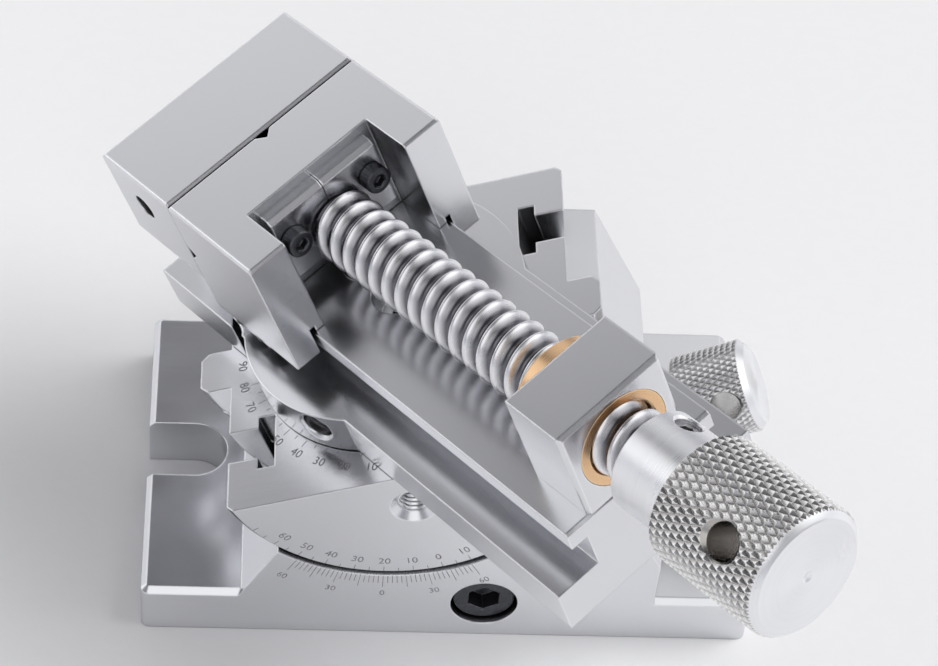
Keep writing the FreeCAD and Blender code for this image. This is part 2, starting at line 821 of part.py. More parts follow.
def post_bolt():
    """Cap screw that ties the swivel post to the vise body."""
    seat = deck_top - deck_hole_depth
    bolt = socket_screw((0, 0, seat), (0, 0, -1), post_bolt_radius, post_bolt_length, post_bolt_head_radius,
                        post_bolt_head_height, 2.0 * post_bolt_socket_radius,
                        post_bolt_head_height * socket_depth_share, (1, 0, 0))
    return placed(bolt, vise_placement())


def movable_blank():
    """Movable jaw before its holes: head, two arms and two skirts."""
    far = jaw_line + jaw_rest_gap
    head = block((far, movable_near_end), (-vise_half_width, vise_half_width), (skirt_bottom, jaw_top))
    edges = edges_where(head, lambda point: near(point.z, jaw_top))
    head = head.makeChamfer(jaw_edge_chamfer, edges)
    inner = deck_half_width + skirt_side_gap
    channel_top = deck_top + slide_gap
    length = (far - cut_margin, movable_near_end + cut_margin)
    channel = block(length, (-inner, inner), (skirt_bottom - cut_margin, channel_top))
    cavity = block((cavity_far_end, movable_near_end + cut_margin), (-cavity_half_width, cavity_half_width),
                   (skirt_bottom - cut_margin, jaw_top + cut_margin))
    body = head.cut(channel).cut(cavity)
    for side in (-1, 1):
        limits = sorted((side * (inner - relief_width), side * inner))
        relief = block(length, limits, (channel_top - cut_margin, channel_top + relief_height))
        body = body.cut(relief)
    return body


def vee_cutters():
    """Upright and level V grooves of the movable jaw's face."""
    far = jaw_line + jaw_rest_gap
    height = jaw_top - skirt_bottom + 2.0 * cut_margin
    upright = extruded_outline([
        (far, -vee_half_width, skirt_bottom - cut_margin),
        (far + vee_depth, 0, skirt_bottom - cut_margin),
        (far, vee_half_width, skirt_bottom - cut_margin),
    ], (0, 0, height))
    middle = (vee_low + vee_high) / 2.0
    width = 2.0 * (vee_half_width + vise_half_width)
    level = extruded_outline([
        (far, -width / 2.0, vee_low),
        (far + vee_depth, -width / 2.0, middle),
        (far, -width / 2.0, vee_high),
    ], (0, width, 0))
    return upright.fuse(level)


def movable_jaw():
    """Movable jaw with V grooves, lead-screw bore and screw holes."""
    body = movable_blank().cut(vee_cutters())
    bore_depth = cavity_far_end - screw_tip_end + screw_axial_gap
    bore = rod((cavity_far_end, 0, screw_axis_h), (-1, 0, 0), bore_depth, screw_tip_radius + screw_axial_gap)
    body = body.cut(bore)
    hole_depth = plate_screw_length
    for side in (-1, 1):
        hole = rod((cavity_far_end, side * plate_screw_w, plate_screw_h), (-1, 0, 0), hole_depth,
                   plate_screw_radius + screw_seat_gap)
        body = body.cut(hole)
    for s, w in keeper_screw_positions():
        body = body.cut(rod((s, w, skirt_bottom), (0, 0, 1), keeper_screw_length,
                            keeper_screw_radius + screw_seat_gap))
    return placed(body, vise_placement())


def keeper_screw_positions():
    """Places of the keeper screws, as distance along and across the vise."""
    far_s = keeper_far_end + keeper_screw_inset
    near_s = keeper_near_end - keeper_screw_inset
    return [(s, side * keeper_screw_w) for s in (far_s, near_s) for side in (-1, 1)]


def jaw_keeper(side):
    """L-shaped keeper below one skirt, its tongue reaching under the rail."""
    length = (keeper_far_end, keeper_near_end)
    bottom = skirt_bottom - keeper_thickness
    plate = block(length, sorted((side * keeper_inner, side * keeper_outer)), (bottom, skirt_bottom))
    tongue_top = neck_top - slide_gap
    tongue = block(length, sorted((side * keeper_inner, side * keeper_tongue_outer)),
                   (skirt_bottom, tongue_top))
    body = plate.fuse(tongue)
    for s, w in keeper_screw_positions():
        if w * side > 0:
            hole = rod((s, w, bottom), (0, 0, 1), keeper_thickness, keeper_screw_radius + screw_seat_gap)
            head = rod((s, w, bottom), (0, 0, 1), keeper_screw_head_height,
                       keeper_screw_head_radius + screw_seat_gap)
            body = body.cut(hole.fuse(head))
    return placed(body, vise_placement())


def keeper_screws():
    """Screws of both keepers."""
    screws = []
    seat = skirt_bottom - keeper_thickness + keeper_screw_head_height
    length = keeper_screw_length - screw_axial_gap
    for s, w in keeper_screw_positions():
        screws.append(socket_screw((s, w, seat), (0, 0, 1), keeper_screw_radius, length,
                                   keeper_screw_head_radius, keeper_screw_head_height,
                                   keeper_screw_radius, keeper_screw_head_height * socket_depth_share,
                                   (1, 0, 0)))
    return placed(Part.makeCompound(screws), vise_placement())


def retaining_plate(side):
    """Half of the split plate that holds the lead screw's neck."""
    limits = sorted((side * plate_split_gap / 2.0, side * plate_half_width))
    body = block((cavity_far_end, plate_near_end), limits, (plate_bottom, plate_top))
    edges = edges_where(body, lambda point: near(point.x, plate_near_end) and near(point.z, plate_top))
    body = body.makeChamfer(plate_chamfer, edges)
    thickness = plate_near_end - cavity_far_end
    bore = rod((cavity_far_end - cut_margin, 0, screw_axis_h), (1, 0, 0), thickness + 2.0 * cut_margin,
               screw_neck_radius + screw_neck_gap)
    hole = rod((cavity_far_end - cut_margin, side * plate_screw_w, plate_screw_h), (1, 0, 0),
               thickness + 2.0 * cut_margin, plate_screw_radius + screw_seat_gap)
    return placed(body.cut(bore).cut(hole), vise_placement())


def plate_screws():
    """Black cap screws of the retaining plates."""
    screws = []
    for side in (-1, 1):
        start = (plate_near_end, side * plate_screw_w, plate_screw_h)
        screws.append(socket_screw(start, (-1, 0, 0), plate_screw_radius, plate_screw_length,
                                   plate_screw_head_radius, plate_screw_head_height,
                                   plate_screw_socket_width, plate_screw_socket_depth, (0, 0, 1)))
    return placed(Part.makeCompound(screws), vise_placement())


def screw_thread(start, end):
    """Right-handed thread about the X axis, on its core and cut square at both ends."""
    root = screw_radius - thread_depth
    foot = root - thread_overlap
    flank = (thread_pitch - thread_crest_width - thread_root_width) / 2.0
    half_crest = thread_crest_width / 2.0
    half_foot = half_crest + flank * (1.0 + thread_overlap / thread_depth)
    turns_before = math.ceil((thread_crest_s - start) / thread_pitch) + 1
    first = thread_crest_s - turns_before * thread_pitch
    outline = [
        (foot, 0, first - half_foot),
        (screw_radius, 0, first - half_crest),
        (screw_radius, 0, first + half_crest),
        (foot, 0, first + half_foot),
        (foot, 0, first - half_foot),
    ]
    helix = Part.makeHelix(thread_pitch, end - first + thread_pitch, root)
    helix.translate(FreeCAD.Vector(0, 0, first))
    section = Part.makePolygon([FreeCAD.Vector(*point) for point in outline])
    ridge = Part.Wire(helix).makePipeShell([section], True, True)
    core = rod((0, 0, start), (0, 0, 1), end - start, root)
    length_kept = rod((0, 0, start), (0, 0, 1), end - start, screw_radius + cut_margin)
    screw = core.fuse(ridge).common(length_kept)
    screw.rotate(FreeCAD.Vector(0, 0, 0), FreeCAD.Vector(1, 1, 1), 120)
    return screw


def lead_screw():
    """Threaded lead screw with the neck and tip that the retaining plates hold."""
    axis = (1, 0, 0)
    tip_near = cavity_far_end - screw_axial_gap
    tip = rod((screw_tip_end, 0, screw_axis_h), axis, tip_near - screw_tip_end, screw_tip_radius)
    body_start = plate_near_end + screw_axial_gap
    neck = rod((tip_near, 0, screw_axis_h), axis, body_start - tip_near, screw_neck_radius)
    body = screw_thread(body_start, hub_start)
    body.translate(FreeCAD.Vector(0, 0, screw_axis_h))
    tang = rod((hub_start, 0, screw_axis_h), axis, handle_bore_end - hub_start, screw_neck_radius)
    return placed(tip.fuse(neck).fuse(body).fuse(tang), vise_placement())


def screw_handle():
    """Handle of the lead screw: smooth hub, knurled grip, cross hole and end bore."""
    axis = (1, 0, 0)
    hub = rod((hub_start, 0, screw_axis_h), axis, hub_end - hub_start, hub_radius)
    hub_edges = edges_where(hub, lambda point: near(point.x, hub_start))
    hub = hub.makeChamfer(hub_chamfer, hub_edges)
    grip = chamfered_rod((hub_end, 0, screw_axis_h), axis, handle_end - hub_end, handle_radius, handle_chamfer)
    body = hub.fuse(grip)
    bore = rod((hub_start - cut_margin, 0, screw_axis_h), axis, handle_bore_end - hub_start + cut_margin,
               screw_neck_radius + nut_seat_gap)
    hole = cross_hole(handle_hole_s, -handle_hole_turn, handle_radius, handle_hole_radius,
                      handle_hole_countersink)
    hole.translate(FreeCAD.Vector(0, 0, screw_axis_h))
    screw_hole = rod((0, 0, 0), (0, 0, 1), hub_radius + cut_margin, hub_screw_radius + screw_seat_gap)
    screw_hole = turned_to_hub(screw_hole)
    return placed(body.cut(bore).cut(hole).cut(screw_hole), vise_placement())


def turned_to_hub(shape):
    """Shape standing on the screw axis, turned and moved to the hub's set screw."""
    result = shape.copy()
    result.rotate(FreeCAD.Vector(0, 0, 0), FreeCAD.Vector(1, 0, 0), -hub_screw_turn)
    result.translate(FreeCAD.Vector(hub_screw_s, 0, screw_axis_h))
    return result


def hub_set_screw():
    """Set screw that fixes the handle to the lead screw."""
    start = hub_radius - hub_screw_inset
    length = start - screw_neck_radius
    screw = set_screw((0, 0, start), (0, 0, -1), hub_screw_radius, length, hub_screw_socket_radius)
    return placed(turned_to_hub(screw), vise_placement())


def main():
    """Build and write every piece."""
    os.makedirs("parts", exist_ok=True)
    save("base_block", base_block())
    save("worm_bushing", worm_bushing())
    save("lock_pad", lock_pad())
    save("tilt_lock_screw", tilt_lock_screw())
    save("tilt_segment", tilt_segment())
    save("post_set_screw", post_set_screw())
    save("worm_shaft", worm_shaft())
    save("tilt_knob", tilt_knob())
    save("knob_pin", knob_pin())
    save("vise_body", vise_body())
    save("disc_set_screws", disc_set_screws())
    save("swivel_post", swivel_post())
    save("post_bolt", post_bolt())
    save("nut_block", nut_block())
    save("block_screws", block_screws())
    save("screw_nut", screw_nut())
    save("movable_jaw", movable_jaw())
    save("left_keeper", jaw_keeper(-1))
    save("right_keeper", jaw_keeper(1))
    save("keeper_screws", keeper_screws())
    save("left_retaining_plate", retaining_plate(-1))
    save("right_retaining_plate", retaining_plate(1))
    save("plate_screws", plate_screws())
    save("lead_screw", lead_screw())
    save("screw_handle", screw_handle())
    save("hub_set_screw", hub_set_screw())


main()
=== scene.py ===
"""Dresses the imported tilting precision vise: threads, knurls, screws, scales, finishes and the studio.

Sizes of the vise stand in millimetres in the fields of the classes. Blender's own lengths are metres.
"""

import logging
import math
from collections.abc import Callable, Sequence
from dataclasses import dataclass
from enum import Enum

import bmesh
import bpy
from mathutils import Matrix, Vector
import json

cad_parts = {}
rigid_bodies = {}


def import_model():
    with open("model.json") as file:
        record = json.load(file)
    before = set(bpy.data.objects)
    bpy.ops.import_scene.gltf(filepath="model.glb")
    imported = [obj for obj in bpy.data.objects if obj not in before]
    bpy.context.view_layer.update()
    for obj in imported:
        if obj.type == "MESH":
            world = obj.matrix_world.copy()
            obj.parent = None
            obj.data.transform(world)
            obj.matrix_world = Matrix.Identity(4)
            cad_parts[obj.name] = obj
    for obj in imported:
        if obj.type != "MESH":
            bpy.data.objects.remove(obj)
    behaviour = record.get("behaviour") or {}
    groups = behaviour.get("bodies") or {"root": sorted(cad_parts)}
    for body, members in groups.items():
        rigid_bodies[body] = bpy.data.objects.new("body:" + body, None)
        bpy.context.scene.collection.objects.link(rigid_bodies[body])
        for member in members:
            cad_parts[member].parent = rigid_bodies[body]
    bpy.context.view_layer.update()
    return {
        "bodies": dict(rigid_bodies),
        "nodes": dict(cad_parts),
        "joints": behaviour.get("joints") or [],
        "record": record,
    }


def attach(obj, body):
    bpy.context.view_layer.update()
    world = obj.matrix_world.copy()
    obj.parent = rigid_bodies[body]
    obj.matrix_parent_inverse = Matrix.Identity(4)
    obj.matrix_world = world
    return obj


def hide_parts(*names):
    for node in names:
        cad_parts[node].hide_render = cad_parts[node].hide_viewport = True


LOG = logging.getLogger("vise")
MM = 0.001
FULL_TURN = 2.0 * math.pi
DIGIT_SIZE_TO_HEIGHT = 1.42
LEAD_SCREW_HEIGHT = 26.6
BLANK_ALLOWANCE = 0.2

Colour = tuple[float, float, float]
Ring = list[Vector]


class Body(Enum):
    """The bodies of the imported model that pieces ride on."""

    BASE = "base"
    LOCK_SCREW = "lock_screw"
    SEGMENT = "segment"
    WORM = "worm"
    VISE = "vise"
    JAW = "jaw"
    FEED_SCREW = "feed_screw"


class Slot(Enum):
    """The record's material slots."""

    GROUND = "ground_steel"
    TURNED = "turned_steel"
    KNURLED = "knurled_steel"
    BLACK = "black_screw"
    BRONZE = "bronze"


class Cut(Enum):
    """How one closed mesh works on another."""

    KEEP_COMMON = "INTERSECT"
    TAKE_AWAY = "DIFFERENCE"


class Lay(Enum):
    """The way in which the lines of a machined surface run."""

    LENGTHWISE = "along the piece"
    ROUND = "round the axis"


def axes_frame(origin: Vector, along: Vector, upward: Vector) -> Matrix:
    """Makes the frame of a sub-assembly.

    Args:
        origin: Its origin, in metres.
        along: The direction of its X axis.
        upward: A direction near its Z axis.

    Returns:
        The frame as a matrix in metres.
    """
    x_axis = along.normalized()
    y_axis = upward.cross(x_axis).normalized()
    z_axis = x_axis.cross(y_axis)
    turn = Matrix((x_axis, y_axis, z_axis)).transposed().to_4x4()
    return Matrix.Translation(origin) @ turn


@dataclass(frozen=True)
class Frames:
    """The local frames of the vise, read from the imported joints."""

    segment: Matrix
    vise: Matrix
    worm: Matrix

    def lead_screw(self) -> Matrix:
        """Frame whose X axis is the lead screw's."""
        return self.vise @ Matrix.Translation(Vector((0.0, 0.0, LEAD_SCREW_HEIGHT * MM)))

    @classmethod
    def from_joints(cls, joints: Sequence[dict]) -> "Frames":
        """Reads the frames from the joints.

        Args:
            joints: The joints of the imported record.

        Returns:
            The frames of segment, vise and worm.
        """
        named = {joint["name"]: joint for joint in joints}
        swivel_axis = Vector(named["swivel"]["axis"])
        tilt_axis = Vector(named["tilt"]["axis"])
        segment = axes_frame(Vector(named["tilt"]["pos_m"]), swivel_axis.cross(tilt_axis), swivel_axis)
        vise = axes_frame(Vector(named["swivel"]["pos_m"]), Vector(named["jaw_slide"]["axis"]), swivel_axis)
        worm_axis = Vector(named["worm_spin"]["axis"])
        worm = axes_frame(Vector(named["worm_spin"]["pos_m"]), worm_axis, worm_axis.cross(tilt_axis) * -1.0)
        return cls(segment, vise, worm)


def circle(x: float, radius: float, count: int) -> Ring:
    """Ring of points round the X axis."""
    return shaped_ring(x, lambda angle: radius, count)


def shaped_ring(x: float, radius_at: Callable[[float], float], count: int) -> Ring:
    """Makes a ring whose radius changes with the angle.

    Args:
        x: Place of the ring along the axis.
        radius_at: Radius for an angle in radians, counted from Y towards Z.
        count: Number of points.

    Returns:
        The points in order.
    """
    ring = []
    for index in range(count):
        angle = FULL_TURN * index / count
        radius = radius_at(angle)
        ring.append(Vector((x, radius * math.cos(angle), radius * math.sin(angle))))
    return ring


def hexagon_radius(width: float) -> Callable[[float], float]:
    """Radius of a hexagon as a function of the angle.

    Args:
        width: Its width across flats.

    Returns:
        The function.
    """
    sector = math.pi / 3.0

    def radius(angle: float) -> float:
        """Radius at one angle."""
        return width / 2.0 / math.cos((angle + sector / 2.0) % sector - sector / 2.0)

    return radius


def fluted_radius(radius: float, depth: float, flutes: int) -> Callable[[float], float]:
    """Radius of a fluted rim, as a function of the angle."""
    return lambda angle: radius - depth * (0.5 - 0.5 * math.cos(flutes * angle))


def flat_footed_radius(radius: float, flat: float) -> Callable[[float], float]:
    """Radius of a round piece with a flat below its axis, as a function of the angle.

    Args:
        radius: Radius of the round part.
        flat: Distance of the flat below the axis.

    Returns:
        The function.
    """

    def radius_at(angle: float) -> float:
        """Radius at one angle."""
        downward = -math.sin(angle)
        return min(radius, flat / downward) if downward > 0.0 else radius

    return radius_at


def finish_mesh(mesh: bpy.types.Mesh, sharp_angle: float) -> None:
    """Smooths a mesh apart from the edges sharper than an angle in degrees."""
    mesh.shade_smooth()
    mesh.set_sharp_from_angle(angle=math.radians(sharp_angle))


def new_piece(name: str, points: Sequence[Vector], faces: Sequence[Sequence[int]], frame: Matrix,
              sharp_angle: float = 32.0) -> bpy.types.Object:
    """Makes a mesh piece from points in millimetres.

    Args:
        name: Name of the piece.
        points: Points in the piece's own frame.
        faces: Corner numbers of the faces.
        frame: Frame in which the piece stands.
        sharp_angle: Angle in degrees above which an edge stays sharp.

    Returns:
        The new object.
    """
    mesh = bpy.data.meshes.new(name)
    mesh.from_pydata([point * MM for point in points], [], faces)
    work = bmesh.new()
    work.from_mesh(mesh)
    bmesh.ops.recalc_face_normals(work, faces=work.faces)
    work.to_mesh(mesh)
    work.free()
    finish_mesh(mesh, sharp_angle)
    piece = bpy.data.objects.new(name, mesh)
    bpy.context.scene.collection.objects.link(piece)
    piece.matrix_world = frame
    return piece


def ring_faces(count: int, rows: int) -> list[list[int]]:
    """Faces between neighbouring rings of equal size.

    Args:
        count: Points in a ring.
        rows: Number of rings.

    Returns:
        The quadrilaterals.
    """
    faces = []
    for row in range(rows - 1):
        for index in range(count):
            after = (index + 1) % count
            low = row * count
            faces.append([low + index, low + after, low + count + after, low + count + index])
    return faces


def turned_piece(name: str, rings: Sequence[Ring], ends: tuple[float, float], frame: Matrix,
                 sharp_angle: float = 32.0) -> bpy.types.Object:
    """Makes a closed piece through rings, its ends closed on the axis.

    Args:
        name: Name of the piece.
        rings: Rings of equal size, from one end to the other.
        ends: Places along the axis of the two closing points.
        frame: Frame in which the piece stands.
        sharp_angle: Angle in degrees above which an edge stays sharp.

    Returns:
        The new object.
    """
    count = len(rings[0])
    points = [point for ring in rings for point in ring]
    faces = ring_faces(count, len(rings))
    last = (len(rings) - 1) * count
    for end, base in ((ends[0], 0), (ends[1], last)):
        points.append(Vector((end, 0.0, 0.0)))
        centre = len(points) - 1
        faces.extend([centre, base + index, base + (index + 1) % count] for index in range(count))
    return new_piece(name, points, faces, frame, sharp_angle)


def hollow_piece(name: str, rings: Sequence[Ring], frame: Matrix, sharp_angle: float = 32.0
                 ) -> bpy.types.Object:
    """Makes a hollow piece through rings, the last of them joined to the first.

    Args:
        name: Name of the piece.
        rings: Rings of equal size, along the outside and back through the bore.
        frame: Frame in which the piece stands.
        sharp_angle: Angle in degrees above which an edge stays sharp.

    Returns:
        The new object.
    """
    count = len(rings[0])
    points = [point for ring in rings for point in ring]
    faces = ring_faces(count, len(rings))
    last = (len(rings) - 1) * count
    for index in range(count):
        after = (index + 1) % count
        faces.append([last + index, last + after, after, index])
    return new_piece(name, points, faces, frame, sharp_angle)


def lathe(name: str, profile: Sequence[tuple[float, float]], frame: Matrix, count: int = 128,
          sharp_angle: float = 32.0) -> bpy.types.Object:
    """Turns a profile of places and radii round the X axis into a closed piece.

    Args:
        name: Name of the piece.
        profile: Pairs of place along the axis and radius; the first and last lie on the axis.
        frame: Frame in which the piece stands.
        count: Points round the axis.
        sharp_angle: Angle in degrees above which an edge stays sharp.

    Returns:
        The new object.
    """
    rings = [circle(x, radius, count) for x, radius in profile[1:-1]]
    return turned_piece(name, rings, (profile[0][0], profile[-1][0]), frame, sharp_angle)


def combine(piece: bpy.types.Object, tool: bpy.types.Object, cut: Cut, sharp_angle: float = 32.0) -> None:
    """Works one closed piece on another and removes the tool.

    Args:
        piece: Piece that is changed.
        tool: Piece that shapes it.
        cut: Whether the common part stays or the tool's part goes.
        sharp_angle: Angle in degrees above which an edge stays sharp.
    """
    work = piece.modifiers.new("work", "BOOLEAN")
    work.operation = cut.value
    work.solver = "EXACT"
    work.object = tool
    bpy.context.view_layer.update()
    shaped = bpy.data.meshes.new_from_object(piece.evaluated_get(bpy.context.evaluated_depsgraph_get()))
    piece.modifiers.remove(work)
    rough = piece.data
    piece.data = shaped
    bpy.data.meshes.remove(rough)
    bpy.data.objects.remove(tool)
    finish_mesh(piece.data, sharp_angle)


def place(piece: bpy.types.Object, body: Body, material: bpy.types.Material,
          stands_for: Sequence[str] = ()) -> None:
    """Gives a piece its finish and body.

    Args:
        piece: The piece.
        body: The body that it rides on.
        material: Its material.
        stands_for: The CAD nodes that it replaces.
    """
    piece.data.materials.clear()
    piece.data.materials.append(material)
    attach(piece, body.value)
    if stands_for:
        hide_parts(*stands_for)
    LOG.info("%s rides on %s, %d faces", piece.name, body.value, len(piece.data.polygons))


class NodeSheet:
    """A node material while it is being laid out."""

    def __init__(self, name: str) -> None:
        """Starts an empty material with its output."""
        self.material = bpy.data.materials.new(name)
        self.material.use_nodes = True
        self.tree = self.material.node_tree
        self.tree.nodes.clear()
        self.output = self.tree.nodes.new("ShaderNodeOutputMaterial")

    def add(self, kind: str, inputs: dict | None = None, **settings: object) -> bpy.types.Node:
        """Adds a node.

        Args:
            kind: Its type without the leading ShaderNode.
            inputs: Values or sockets for its inputs, by name or number.
            **settings: Its own settings.

        Returns:
            The node.
        """
        node = self.tree.nodes.new("ShaderNode" + kind)
        for key, value in settings.items():
            setattr(node, key, value)
        for key, value in (inputs or {}).items():
            if isinstance(value, bpy.types.NodeSocket):
                self.tree.links.new(value, node.inputs[key])
            else:
                node.inputs[key].default_value = value
        return node

    def coordinates(self, frame: Matrix) -> bpy.types.NodeSocket:
        """Place on the piece in the given frame, in metres."""
        source = self.add("TexCoord").outputs["Object"]
        return self.in_frame(source, frame, frame.to_translation())

    def facing(self, frame: Matrix) -> bpy.types.NodeSocket:
        """Direction in which the surface faces, in the given frame."""
        return self.in_frame(self.add("TexCoord").outputs["Normal"], frame, Vector())

    def in_frame(self, source: bpy.types.NodeSocket, frame: Matrix, origin: Vector) -> bpy.types.NodeSocket:
        """Turns a vector into a frame.

        Args:
            source: The vector in the object's own frame.
            frame: The frame that gives the axes.
            origin: The point that becomes zero.

        Returns:
            The vector in the frame.
        """
        inputs = {"Vector": source, "Location": origin, "Rotation": frame.to_euler()}
        return self.add("Mapping", inputs, vector_type="TEXTURE").outputs[0]

    def grain(self, place_on: bpy.types.NodeSocket, scale: Sequence[float], detail: float = 3.0
              ) -> bpy.types.NodeSocket:
        """Noise stretched by a scale per axis.

        Args:
            place_on: Place on the piece.
            scale: Repeats to the metre along each axis.
            detail: Fineness of the noise.

        Returns:
            Noise from 0 to 1.
        """
        stretched = self.add("Mapping", {"Vector": place_on, "Scale": scale}).outputs[0]
        inputs = {"Vector": stretched, "Scale": 1.0, "Detail": detail, "Roughness": 0.6}
        return self.add("TexNoise", inputs).outputs[0]

    def span(self, value: bpy.types.NodeSocket, source: tuple[float, float], target: tuple[float, float]
             ) -> bpy.types.NodeSocket:
        """Maps one range of a value onto another, held at its ends."""
        limits = {"From Min": source[0], "From Max": source[1], "To Min": target[0], "To Max": target[1]}
        return self.add("MapRange", {"Value": value, **limits}).outputs[0]

    def blend(self, share: bpy.types.NodeSocket, first: object, second: object) -> bpy.types.NodeSocket:
        """Mixes two colours or colour sockets by a share."""
        inputs = {"Factor": share, 6: first, 7: second}
        return self.add("Mix", inputs, data_type="RGBA").outputs[2]

    def math(self, operation: str, first: object, second: object = 0.0) -> bpy.types.NodeSocket:
        """Result of one arithmetic step."""
        return self.add("Math", {0: first, 1: second}, operation=operation).outputs[0]

    def from_axis(self, place_on: bpy.types.NodeSocket) -> tuple[bpy.types.NodeSocket, bpy.types.NodeSocket]:
        """Splits a place into its parts along and away from the X axis.

        Args:
            place_on: Place on the piece.

        Returns:
            Place along the axis, and distance from it.
        """
        parts = self.add("SeparateXYZ", {0: place_on})
        flat = self.add("CombineXYZ", {0: parts.outputs[1], 1: parts.outputs[2]}).outputs[0]
        return parts.outputs[0], self.add("VectorMath", {0: flat}, operation="LENGTH").outputs["Value"]

    def rounded_normal(self, radius: float) -> bpy.types.NodeSocket:
        """Normal of the surface with its edges rounded by a radius in millimetres."""
        return self.add("Bevel", {"Radius": radius * MM}, samples=6).outputs[0]

    def bump(self, height: bpy.types.NodeSocket, depth: float, normal: bpy.types.NodeSocket
             ) -> bpy.types.NodeSocket:
        """Normal of a surface with marks of a depth in millimetres."""
        inputs = {"Height": height, "Strength": 1.0, "Distance": depth * MM, "Normal": normal}
        return self.add("Bump", inputs).outputs[0]

    def show(self, shader: bpy.types.Node) -> bpy.types.Material:
        """Puts a shader on the output and gives the material."""
        self.tree.links.new(shader.outputs[0], self.output.inputs[0])
        return self.material

    def edge_share(self, rounded: bpy.types.NodeSocket, likeness: tuple[float, float] = (0.995, 0.93)
                   ) -> bpy.types.NodeSocket:
        """Finds the worn edges.

        Args:
            rounded: Normal of the surface with rounded edges.
            likeness: Cosine between rounded and plain normal where the edge brightening begins, and where it
                is full.

        Returns:
            1 on an edge and 0 away from it.
        """
        plain = self.add("NewGeometry").outputs["Normal"]
        same = self.add("VectorMath", {0: plain, 1: rounded}, operation="DOT_PRODUCT").outputs["Value"]
        return self.span(same, likeness, (0.0, 1.0))


def opaque(colour: Colour, level: float = 1.0) -> tuple[float, float, float, float]:
    """Colour times a level, with full cover."""
    return (colour[0] * level, colour[1] * level, colour[2] * level, 1.0)


